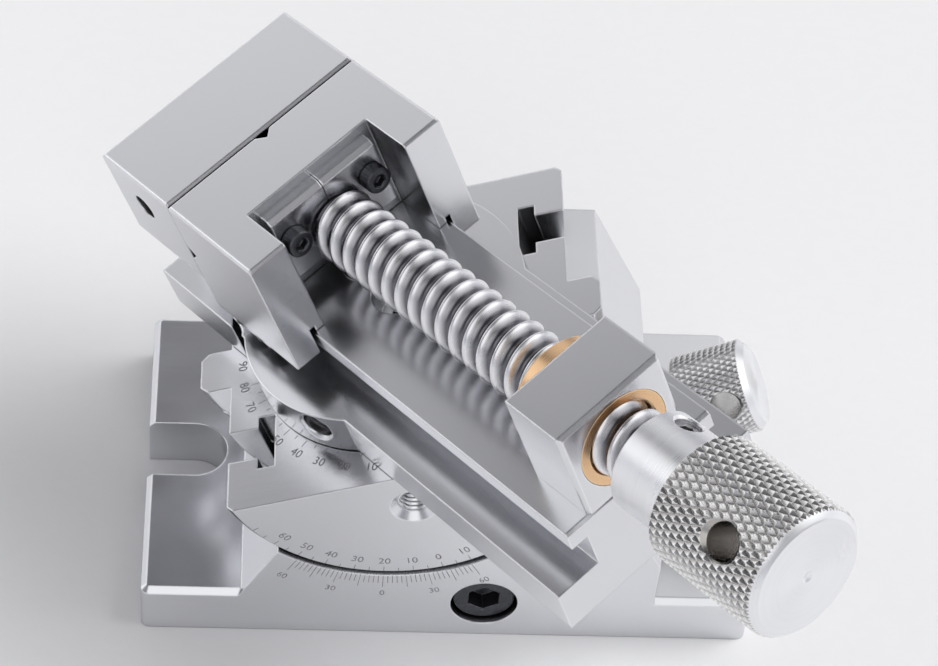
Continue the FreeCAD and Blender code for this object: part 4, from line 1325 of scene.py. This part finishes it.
@dataclass
class SegmentAssembly:
    """The tilting segment with its degree scales and set screw."""

    frames: Frames
    palette: Palette
    nodes: dict
    front: float = -29.5
    rim: float = 28.7
    bevel: float = 1.0
    top: float = -3.8
    screw_z: float = -11.3
    tilt_lines: tuple[int, int] = (-16, 74)
    tilt_fives_line: float = 0.85
    tilt_tens_line: float = 1.15
    tilt_last_number: int = 60
    tilt_number_radius: float = 25.1
    tilt_number_height: float = 1.45
    swivel_start: float = 23.75
    swivel_short: float = 24.5
    swivel_long: float = 25.1
    swivel_number_radius: float = 26.5
    swivel_number_height: float = 1.5
    swivel_step: int = 5
    swivel_bare_degree: int = 60
    post_screw_inset: float = 11.25
    hole_thread_start: float = 1.3
    hole_thread_step: float = 0.1333
    hole_thread_rows: int = 72
    hole_radius: float = 2.54
    line_width: float = 0.11

    def build(self) -> None:
        """Dresses the segment and builds its scales, thread and screw."""
        dress_nodes(self.nodes, ["tilt_segment"], self.palette.segment_ground)
        self.tilt_scale()
        self.swivel_scale()
        self.set_screw()
        self.screw_hole_thread()

    def tilt_scale(self) -> None:
        """Engraves the tilt scale on the front face and its bevel."""
        marks = Engraving("tilt_scale", self.frames.segment)
        face_rim = self.rim - self.bevel
        face_normal = Vector((0.0, -1.0, 0.0))
        for degree in range(self.tilt_lines[0], self.tilt_lines[1] + 1):
            angle = math.radians(degree)
            away = Vector((-math.sin(angle), 0.0, -math.cos(angle)))
            inner = away * face_rim + Vector((0.0, self.front, 0.0))
            outer = away * self.rim + Vector((0.0, self.front + self.bevel, 0.0))
            marks.line(inner, outer, away - Vector((0.0, 1.0, 0.0)), self.line_width)
            if degree % 5 == 0:
                length = self.tilt_tens_line if degree % 10 == 0 else self.tilt_fives_line
                start = away * (face_rim - length) + Vector((0.0, self.front, 0.0))
                marks.line(start, inner, face_normal, self.line_width)
            if degree % 10 == 0 and degree <= self.tilt_last_number:
                middle = away * self.tilt_number_radius + Vector((0.0, self.front, 0.0))
                rightward = Vector((math.cos(angle), 0.0, -math.sin(angle)))
                marks.number(str(abs(degree)), middle, rightward, face_normal, self.tilt_number_height)
        marks.build(Body.SEGMENT, self.palette.ink)

    def swivel_scale(self) -> None:
        """Engraves the swivel scale on the top, round the disc."""
        marks = Engraving("swivel_scale", self.frames.segment)
        normal = Vector((0.0, 0.0, 1.0))
        lift = Vector((0.0, 0.0, self.top))
        for degree in range(-90, 91, self.swivel_step):
            angle = math.radians(degree)
            away = Vector((-math.sin(angle), -math.cos(angle), 0.0))
            reach = self.swivel_long if degree % 10 == 0 else self.swivel_short
            marks.line(away * self.swivel_start + lift, away * reach + lift, normal, self.line_width)
            if degree % 10 == 0 and abs(degree) != self.swivel_bare_degree:
                rightward = Vector((math.cos(angle), -math.sin(angle), 0.0))
                middle = away * self.swivel_number_radius + lift
                marks.number(str(abs(degree)), middle, rightward, normal, self.swivel_number_height)
        marks.build(Body.SEGMENT, self.palette.ink)

    def set_screw(self) -> None:
        """Builds the set screw that keeps the swivel post down."""
        screw = SetScrew(radius=2.5, length=10.0, socket_width=2.5, point_radius=0.4)
        position = (0.0, self.front + self.post_screw_inset, self.screw_z)
        where = screw_frame(self.frames.segment, position, (0, 1, 0))
        place(screw.build("post_locking_screw", where), Body.SEGMENT, self.palette.black,
              ["post_set_screw"])

    def screw_hole_thread(self) -> None:
        """Builds the thread seen in the set screw's hole."""
        thread = Thread(crest=2.53, root=2.2, pitch=0.8, crest_at=0.0,
                        rise=lambda share: 1.0 - abs(2.0 * share - 1.0))
        where = screw_frame(self.frames.segment, (0.0, self.front, self.screw_z), (0, 1, 0))
        count = 40
        steps = range(self.hole_thread_rows)
        places = [self.hole_thread_start + step * self.hole_thread_step for step in steps]
        rings = []
        for x in places:
            rings.append([thread.point(x, FULL_TURN * index / count) for index in range(count)])
        rings += [circle(places[-1], self.hole_radius, count), circle(places[0], self.hole_radius, count)]
        piece = hollow_piece("post_hole_thread", rings, where, 40.0)
        place(piece, Body.SEGMENT, self.palette.turned)


@dataclass
class WormAssembly:
    """The worm on its shaft with the knurled knob."""

    frames: Frames
    palette: Palette
    nodes: dict
    core_start: float = -5.7
    core_end: float = 11.4
    core_radius: float = 4.8
    crest_radius: float = 6.15
    lead: float = 2.8973
    thread_run_out: float = 1.4
    shaft_radius: float = 3.5
    shaft_end: float = 40.9
    journal_start: float = -10.6
    journal_radius: float = 3.0
    chamfer: float = 0.4
    neck_start: float = 31.4
    neck_radius: float = 5.2
    neck_chamfer: float = 0.3
    knob_start: float = 36.0
    knob_end: float = 48.7
    knob_radius: float = 7.85
    knob_bevel: float = 1.3
    knob_near_bevel: float = 0.5
    dimple_radius: float = 0.9
    dimple_depth: float = 0.4
    hole_place: float = 44.0
    hole_turn: float = -60.0
    hole_radius: float = 2.5
    hole_countersink: float = 0.3

    def build(self) -> None:
        """Builds the worm and the knob."""
        dress_nodes(self.nodes, ["knob_pin"], self.palette.worm_turned)
        self.worm()
        self.knob()

    def worm(self) -> None:
        """Builds the threaded worm with its shaft and journal."""
        thread = Thread(self.crest_radius, self.core_radius, self.lead, -self.lead / 4.0, worm_rise)
        worm = thread.bar("worm_thread", (self.core_start, self.core_end), self.frames.worm, 48, 18)
        crest = self.crest_radius + BLANK_ALLOWANCE
        blank = [
            (self.core_start, 0.0), (self.core_start, self.core_radius),
            (self.core_start + self.thread_run_out, crest), (self.core_end - self.thread_run_out, crest),
            (self.core_end, self.core_radius), (self.core_end, 0.0),
        ]
        combine(worm, lathe("blank", blank, self.frames.worm), Cut.KEEP_COMMON)
        place(worm, Body.WORM, self.palette.turned, ["worm_shaft"])
        shaft = [
            (self.core_end, 0.0), (self.core_end, self.shaft_radius),
            (self.shaft_end - self.chamfer, self.shaft_radius),
            (self.shaft_end, self.shaft_radius - self.chamfer), (self.shaft_end, 0.0),
        ]
        journal = [
            (self.journal_start, 0.0), (self.journal_start, self.journal_radius - self.chamfer),
            (self.journal_start + self.chamfer, self.journal_radius), (self.core_start, self.journal_radius),
            (self.core_start, 0.0),
        ]
        for name, profile in (("worm_shaft_end", shaft), ("worm_journal", journal)):
            place(lathe(name, profile, self.frames.worm), Body.WORM, self.palette.turned)

    def knob(self) -> None:
        """Builds the knurled knob with its neck and cross hole."""
        start = self.knob_start
        end = self.knob_end
        radius = self.knob_radius
        knurl = Knurl(radius, depth=0.3, diamonds=46, half_length=1.0)
        knob = knurl.bar("tilt_knob_grip", start, end, self.frames.worm)
        blank = [
            (start, 0.0), (start, radius - self.knob_near_bevel), (start + self.knob_near_bevel, radius),
            (end - self.knob_bevel, radius), (end, radius - self.knob_bevel),
            (end, self.dimple_radius), (end - self.dimple_depth, 0.0),
        ]
        combine(knob, lathe("blank", blank, self.frames.worm), Cut.KEEP_COMMON, 25.0)
        hole = cross_hole_tool(self.hole_place, self.hole_turn, radius, self.hole_radius,
                               self.hole_countersink, self.frames.worm)
        combine(knob, hole, Cut.TAKE_AWAY, 25.0)
        place(knob, Body.WORM, self.palette.fine_knurled, ["tilt_knob"])
        dress_end(knob, self.palette.faced, end - self.knob_bevel)
        neck = [
            (self.neck_start, 0.0), (self.neck_start, self.neck_radius - self.neck_chamfer),
            (self.neck_start + self.neck_chamfer, self.neck_radius), (start, self.neck_radius), (start, 0.0),
        ]
        place(lathe("tilt_knob_neck", neck, self.frames.worm), Body.WORM, self.palette.turned)


@dataclass
class ViseAssembly:
    """The vise body with its nut block, nut and small screws."""

    frames: Frames
    palette: Palette
    nodes: dict
    disc_radius: float = 23.46
    disc_screw_inset: float = 2.2
    disc_screw_h: float = 4.7
    disc_screw_turns: tuple[float, ...] = (-70.0, -128.0, 70.0, 128.0)
    nut_radius: float = 7.9
    nut_flange_radius: float = 8.8
    nut_bore: float = 6.0
    nut_ends: tuple[float, float, float] = (51.5, 54.15, 66.0)
    nut_chamfer: float = 0.3
    nut_rim: float = 0.12
    deck_top: float = 18.02

    def build(self) -> None:
        """Dresses the vise body and builds its nut and screws."""
        dress_nodes(self.nodes, ["vise_body", "nut_block"], self.palette.vise_ground)
        dress_nodes(self.nodes, ["swivel_post"], self.palette.vise_ground)
        dress_nodes(self.nodes, ["block_screws", "post_bolt"], self.palette.black)
        self.nut()
        self.disc_screws()

    def nut(self) -> None:
        """Builds the flanged bronze nut with rounded mouths."""
        start, shoulder, end = self.nut_ends
        count = 96
        flat = LEAD_SCREW_HEIGHT - self.deck_top
        flange = flat_footed_radius(self.nut_flange_radius, flat)
        flange_face = flat_footed_radius(self.nut_flange_radius - self.nut_chamfer, flat)
        rings = [
            circle(end, self.nut_bore + self.nut_chamfer, count),
            circle(end, self.nut_radius - self.nut_rim, count),
            circle(end - self.nut_rim, self.nut_radius, count),
            circle(shoulder, self.nut_radius, count),
            shaped_ring(shoulder, flange, count),
            shaped_ring(start + self.nut_chamfer, flange, count),
            shaped_ring(start, flange_face, count),
            circle(start, self.nut_bore + self.nut_chamfer, count),
            circle(start + self.nut_chamfer, self.nut_bore, count),
            circle(end - self.nut_chamfer, self.nut_bore, count),
        ]
        nut = hollow_piece("bronze_nut", rings, self.frames.lead_screw())
        place(nut, Body.VISE, self.palette.vise_bronze, ["screw_nut"])

    def disc_screws(self) -> None:
        """Builds the set screws in the disc's side."""
        screw = SetScrew(radius=2.5, length=6.0, socket_width=2.5, point_radius=1.6)
        screws = []
        for turn in self.disc_screw_turns:
            angle = math.radians(turn)
            outward = Vector((math.cos(angle), math.sin(angle), 0.0))
            position = outward * (self.disc_radius - self.disc_screw_inset)
            position.z = self.disc_screw_h
            where = screw_frame(self.frames.vise, position, -outward)
            screws.append(screw.build("disc_screw", where))
        whole = joined("disc_locking_screws", screws, self.frames.vise)
        place(whole, Body.VISE, self.palette.screw_steel, ["disc_set_screws"])


@dataclass
class JawAssembly:
    """The movable jaw with its plates, keepers and screws."""

    frames: Frames
    palette: Palette
    nodes: dict
    plate_face: float = -2.65
    screw_w: float = 8.0
    screw_h: float = 30.0
    head_radius: float = 2.25
    head_height: float = 2.5

    def build(self) -> None:
        """Dresses the jaw and builds the screws of its plates."""
        sided = [f"{side}_{part}" for side in ("left", "right") for part in ("keeper", "retaining_plate")]
        dress_nodes(self.nodes, ["movable_jaw"] + sided, self.palette.vise_ground)
        dress_nodes(self.nodes, ["keeper_screws"], self.palette.black)
        screw = CapScrew(self.head_radius, self.head_height, shank_radius=1.25, length=10.0, socket_width=2.0,
                         socket_depth=1.3, rim=0.25, flutes=24, flute_depth=0.07)
        screws = []
        for side in (-1.0, 1.0):
            position = (self.plate_face, side * self.screw_w, self.screw_h)
            where = screw_frame(self.frames.vise, position, (-1, 0, 0))
            screws.append(screw.build("plate_screw", where))
        whole = joined("plate_cap_screws", screws, self.frames.vise)
        place(whole, Body.JAW, self.palette.black, ["plate_screws"])


@dataclass
class FeedScrewAssembly:
    """The lead screw with its hub and knurled handle."""

    frames: Frames
    palette: Palette
    nodes: dict
    tip_end: float = -9.6
    tip_radius: float = 4.2
    tip_chamfer: float = 0.5
    neck_start: float = -5.55
    neck_radius: float = 3.0
    thread_start: float = -2.35
    thread_end: float = 72.2
    thread_run_out: float = 0.8
    crest_radius: float = 5.93
    root_radius: float = 4.65
    crest_at: float = 1.8
    pitch: float = 3.3
    hub_end: float = 83.0
    hub_radius: float = 8.0
    hub_bevel: float = 0.3
    grip_end: float = 103.9
    grip_radius: float = 10.3
    grip_bevel: float = 1.2
    grip_near_bevel: float = 0.25
    face_round: float = 0.12
    face_inset: float = 0.1
    dimple_radius: float = 0.9
    dimple_wall: float = 0.35
    dimple_floor: float = 0.25
    dimple_depth: float = 0.4
    hole_s: float = 95.4
    hole_turn: float = -39.0
    hole_radius: float = 2.75
    hole_countersink: float = 0.7
    set_screw_s: float = 76.0
    set_screw_turn: float = 43.0
    set_screw_inset: float = 0.9
    screw_hole_floor: float = 3.0
    screw_hole_radius: float = 2.05
    screw_hole_countersink: float = 1.05
    screw_hole_rise: float = 0.6
    screw_hole_spare: float = 0.9

    def build(self) -> None:
        """Builds screw, hub, grip and set screw."""
        frame = self.frames.lead_screw()
        self.thread(frame)
        self.hub(frame)
        self.grip(frame)

    def thread(self, frame: Matrix) -> None:
        """Builds the threaded length, and the neck with its tip.

        Args:
            frame: Frame whose X axis is the screw's.
        """
        form = Thread(self.crest_radius, self.root_radius, self.pitch, self.crest_at, rope_rise)
        screw = form.bar("lead_screw_thread", (self.thread_start, self.thread_end), frame)
        crest = self.crest_radius + BLANK_ALLOWANCE
        blank = [
            (self.thread_start, 0.0), (self.thread_start, self.root_radius),
            (self.thread_start + self.thread_run_out, crest), (self.thread_end, crest),
            (self.thread_end, 0.0),
        ]
        combine(screw, lathe("blank", blank, frame), Cut.KEEP_COMMON, 50.0)
        place(screw, Body.FEED_SCREW, self.palette.thread, ["lead_screw"])
        neck = [
            (self.tip_end, 0.0), (self.tip_end, self.tip_radius - self.tip_chamfer),
            (self.tip_end + self.tip_chamfer, self.tip_radius), (self.neck_start, self.tip_radius),
            (self.neck_start, self.neck_radius), (self.thread_start, self.neck_radius),
            (self.thread_start, 0.0),
        ]
        place(lathe("lead_screw_neck", neck, frame), Body.FEED_SCREW, self.palette.turned)

    def hub(self, frame: Matrix) -> None:
        """Builds the hub with its set screw.

        Args:
            frame: Frame whose X axis is the screw's.
        """
        start = self.thread_end
        profile = [
            (start, 0.0), (start, self.hub_radius - self.hub_bevel),
            (start + self.hub_bevel, self.hub_radius), (self.hub_end, self.hub_radius), (self.hub_end, 0.0),
        ]
        hub = lathe("handle_hub", profile, frame, 160)
        turn = math.radians(self.set_screw_turn)
        outward = Vector((0.0, math.sin(turn), math.cos(turn)))
        middle = Vector((self.set_screw_s, 0.0, 0.0))
        seat = middle + outward * self.screw_hole_floor
        wide = self.screw_hole_radius + self.screw_hole_countersink
        mouth = self.hub_radius - self.screw_hole_floor + self.screw_hole_rise
        tool_profile = [
            (0.0, 0.0), (0.0, self.screw_hole_radius),
            (mouth - self.screw_hole_countersink, self.screw_hole_radius), (mouth, wide),
            (mouth + self.screw_hole_spare, wide), (mouth + self.screw_hole_spare, 0.0),
        ]
        combine(hub, lathe("hole_tool", tool_profile, screw_frame(frame, seat, outward), 64), Cut.TAKE_AWAY)
        place(hub, Body.FEED_SCREW, self.palette.faced)
        head = middle + outward * (self.hub_radius - self.set_screw_inset)
        form = SetScrew(radius=2.0, length=3.9, socket_width=2.0, point_radius=1.2, thread_pitch=0.7)
        screw = form.build("handle_locking_screw", screw_frame(frame, head, -outward))
        place(screw, Body.FEED_SCREW, self.palette.screw_steel, ["hub_set_screw"])

    def grip(self, frame: Matrix) -> None:
        """Builds the knurled grip with its bevel, dimple and cross hole.

        Args:
            frame: Frame whose X axis is the screw's.
        """
        start = self.hub_end
        end = self.grip_end
        radius = self.grip_radius
        face_radius = radius - self.grip_bevel
        knurl = Knurl(radius, depth=0.42, diamonds=46, half_length=1.38)
        grip = knurl.bar("handle_grip", start, end, frame)
        blank = [
            (start, 0.0), (start, radius - self.grip_near_bevel), (start + self.grip_near_bevel, radius),
            (end - self.grip_bevel, radius), (end - self.face_round, face_radius + self.face_round),
            (end, face_radius - self.face_inset), (end, self.dimple_radius),
            (end - self.dimple_wall, self.dimple_floor), (end - self.dimple_depth, 0.0),
        ]
        combine(grip, lathe("blank", blank, frame, 192), Cut.KEEP_COMMON, 25.0)
        hole = cross_hole_tool(self.hole_s, self.hole_turn, radius, self.hole_radius,
                               self.hole_countersink, frame)
        combine(grip, hole, Cut.TAKE_AWAY, 25.0)
        place(grip, Body.FEED_SCREW, self.palette.knurled, ["screw_handle"])
        dress_end(grip, self.palette.faced, end - self.grip_bevel)


@dataclass(frozen=True)
class SoftBox:
    """A soft round light in the surroundings.

    Its bearing counts from the back towards the right. Bearing, height and the half angles of its even middle
    and of its rim are in degrees. Polished metal shows it no brighter than the mirrored limit.
    """

    bearing: float
    height: float
    inner: float
    outer: float
    level: float
    mirrored_limit: float = 1.25

    def direction(self) -> Vector:
        """Finds where the light is.

        Returns:
            Direction from the vise to the middle of the light.
        """
        turn = math.radians(self.bearing)
        rise = math.radians(self.height)
        return Vector((math.sin(turn) * math.cos(rise), math.cos(turn) * math.cos(rise), math.sin(rise)))


@dataclass
class Studio:
    """Pale table, soft surroundings and the camera of the photograph."""

    azimuth: float = 6.128
    elevation: float = 48.994
    roll: float = 6.274
    target: tuple[float, float, float] = (3.841, 19.201, 19.608)
    distance: float = 528.22
    focal_pixels: float = 3091.25
    picture_width: float = 938.0
    sensor_width: float = 36.0
    table_size: float = 3.0
    table_top: float = -0.05
    table_underside: float = -20.0
    wall: tuple[tuple[float, float], ...] = (
        (0.0, 0.8), (5.0, 0.75), (13.0, 0.4), (22.0, 0.36), (41.0, 0.105))
    wall_tint: Colour = (0.985, 0.985, 1.06)
    boxes: tuple[SoftBox, ...] = (
        SoftBox(-65.0, 24.0, 16.0, 24.0, 1.15),
        SoftBox(-18.0, 24.0, 12.0, 27.0, 0.82),
        SoftBox(31.0, 45.0, 16.0, 21.0, 1.05),
        SoftBox(84.0, 42.0, 11.0, 32.0, 6.3),
        SoftBox(186.0, 46.0, 18.0, 32.0, 1.5),
    )

    def build(self) -> None:
        """Builds table, surroundings and camera."""
        self.table()
        self.surroundings()
        self.camera()

    def table(self) -> None:
        """Builds the table top."""
        half = self.table_size / 2.0 / MM
        corners = [(-half, -half), (half, -half), (half, half), (-half, half)]
        points = [Vector((x, y, self.table_top)) for x, y in corners]
        points += [Vector((x, y, self.table_underside)) for x, y in corners]
        faces = [[0, 1, 2, 3], [7, 6, 5, 4]]
        faces += [[index, 4 + index, 4 + (index + 1) % 4, (index + 1) % 4] for index in range(4)]
        top = new_piece("table", points, faces, Matrix())
        top.data.materials.append(TableTop().material())

    def surroundings(self) -> None:
        """Surrounds the object with a pale wall below a dim ceiling and a few soft lights."""
        world = bpy.data.worlds.new("studio")
        bpy.context.scene.world = world
        world.use_nodes = True
        tree = world.node_tree
        tree.nodes.clear()
        look = tree.nodes.new("ShaderNodeTexCoord").outputs["Generated"]
        apart = tree.nodes.new("ShaderNodeSeparateXYZ")
        tree.links.new(look, apart.inputs[0])
        ramp = tree.nodes.new("ShaderNodeValToRGB")
        tree.links.new(apart.outputs["Z"], ramp.inputs[0])
        for index, (height, level) in enumerate(self.wall):
            position = math.sin(math.radians(height))
            stops = ramp.color_ramp.elements
            stop = stops[index] if index < 2 else stops.new(position)
            stop.position = position
            stop.color = opaque(self.wall_tint, level)
        wall = tree.nodes.new("ShaderNodeBackground")
        tree.links.new(ramp.outputs[0], wall.inputs["Color"])
        total = wall.outputs[0]
        for box in self.boxes:
            total = self.with_light(tree, look, box, total)
        output = tree.nodes.new("ShaderNodeOutputWorld")
        tree.links.new(total, output.inputs[0])

    def with_light(self, tree: bpy.types.NodeTree, look: bpy.types.NodeSocket, box: SoftBox,
                   rest: bpy.types.NodeSocket) -> bpy.types.NodeSocket:
        """Adds one soft light to the surroundings.

        Args:
            tree: The world's nodes.
            look: Direction of sight.
            box: The light.
            rest: The surroundings so far.

        Returns:
            The surroundings with the light.
        """
        facing = tree.nodes.new("ShaderNodeVectorMath")
        facing.operation = "DOT_PRODUCT"
        tree.links.new(look, facing.inputs[0])
        facing.inputs[1].default_value = box.direction()
        glow = tree.nodes.new("ShaderNodeMapRange")
        glow.interpolation_type = "SMOOTHSTEP"
        tree.links.new(facing.outputs["Value"], glow.inputs["Value"])
        glow.inputs["From Min"].default_value = math.cos(math.radians(box.outer))
        glow.inputs["From Max"].default_value = math.cos(math.radians(box.inner))
        shown = tree.nodes.new("ShaderNodeMapRange")
        tree.links.new(tree.nodes.new("ShaderNodeLightPath").outputs["Is Glossy Ray"], shown.inputs["Value"])
        shown.inputs["To Min"].default_value = box.level
        shown.inputs["To Max"].default_value = min(box.level, box.mirrored_limit)
        strength = tree.nodes.new("ShaderNodeMath")
        strength.operation = "MULTIPLY"
        tree.links.new(glow.outputs[0], strength.inputs[0])
        tree.links.new(shown.outputs[0], strength.inputs[1])
        lamp = tree.nodes.new("ShaderNodeBackground")
        tree.links.new(strength.outputs[0], lamp.inputs["Strength"])
        both = tree.nodes.new("ShaderNodeAddShader")
        tree.links.new(rest, both.inputs[0])
        tree.links.new(lamp.outputs[0], both.inputs[1])
        return both.outputs[0]

    def camera(self) -> None:
        """Sets up the camera of the photograph."""
        turn = math.radians(self.azimuth)
        rise = math.radians(self.elevation)
        lean = math.radians(self.roll)
        ahead = math.cos(rise)
        forward = Vector((math.sin(turn) * ahead, math.cos(turn) * ahead, -math.sin(rise)))
        level = Vector((math.cos(turn), -math.sin(turn), 0.0))
        upright = level.cross(forward)
        right = level * math.cos(lean) + upright * math.sin(lean)
        up = upright * math.cos(lean) - level * math.sin(lean)
        basis = Matrix((right, up, -forward)).transposed().to_4x4()
        place_of_camera = (Vector(self.target) - forward * self.distance) * MM
        data = bpy.data.cameras.new("photograph")
        data.sensor_width = self.sensor_width
        data.lens = self.focal_pixels / self.picture_width * self.sensor_width
        data.clip_start = 0.05
        camera = bpy.data.objects.new("photograph", data)
        bpy.context.scene.collection.objects.link(camera)
        camera.matrix_world = Matrix.Translation(place_of_camera) @ basis
        bpy.context.scene.camera = camera


def main() -> None:
    """Loads the frame, builds every sub-assembly and sets up the studio."""
    logging.basicConfig(level=logging.INFO, format="%(message)s")
    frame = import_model()
    bpy.context.scene.view_settings.view_transform = "Standard"
    frames = Frames.from_joints(frame["joints"])
    palette = Palette.mixed(frames)
    nodes = frame["nodes"]
    assemblies = [
        BaseAssembly(frames, palette, nodes),
        SegmentAssembly(frames, palette, nodes),
        WormAssembly(frames, palette, nodes),
        ViseAssembly(frames, palette, nodes),
        JawAssembly(frames, palette, nodes),
        FeedScrewAssembly(frames, palette, nodes),
        Studio(),
    ]
    for assembly in assemblies:
        assembly.build()
        LOG.info("%s is built", type(assembly).__name__)


if __name__ == "__main__":
    main()
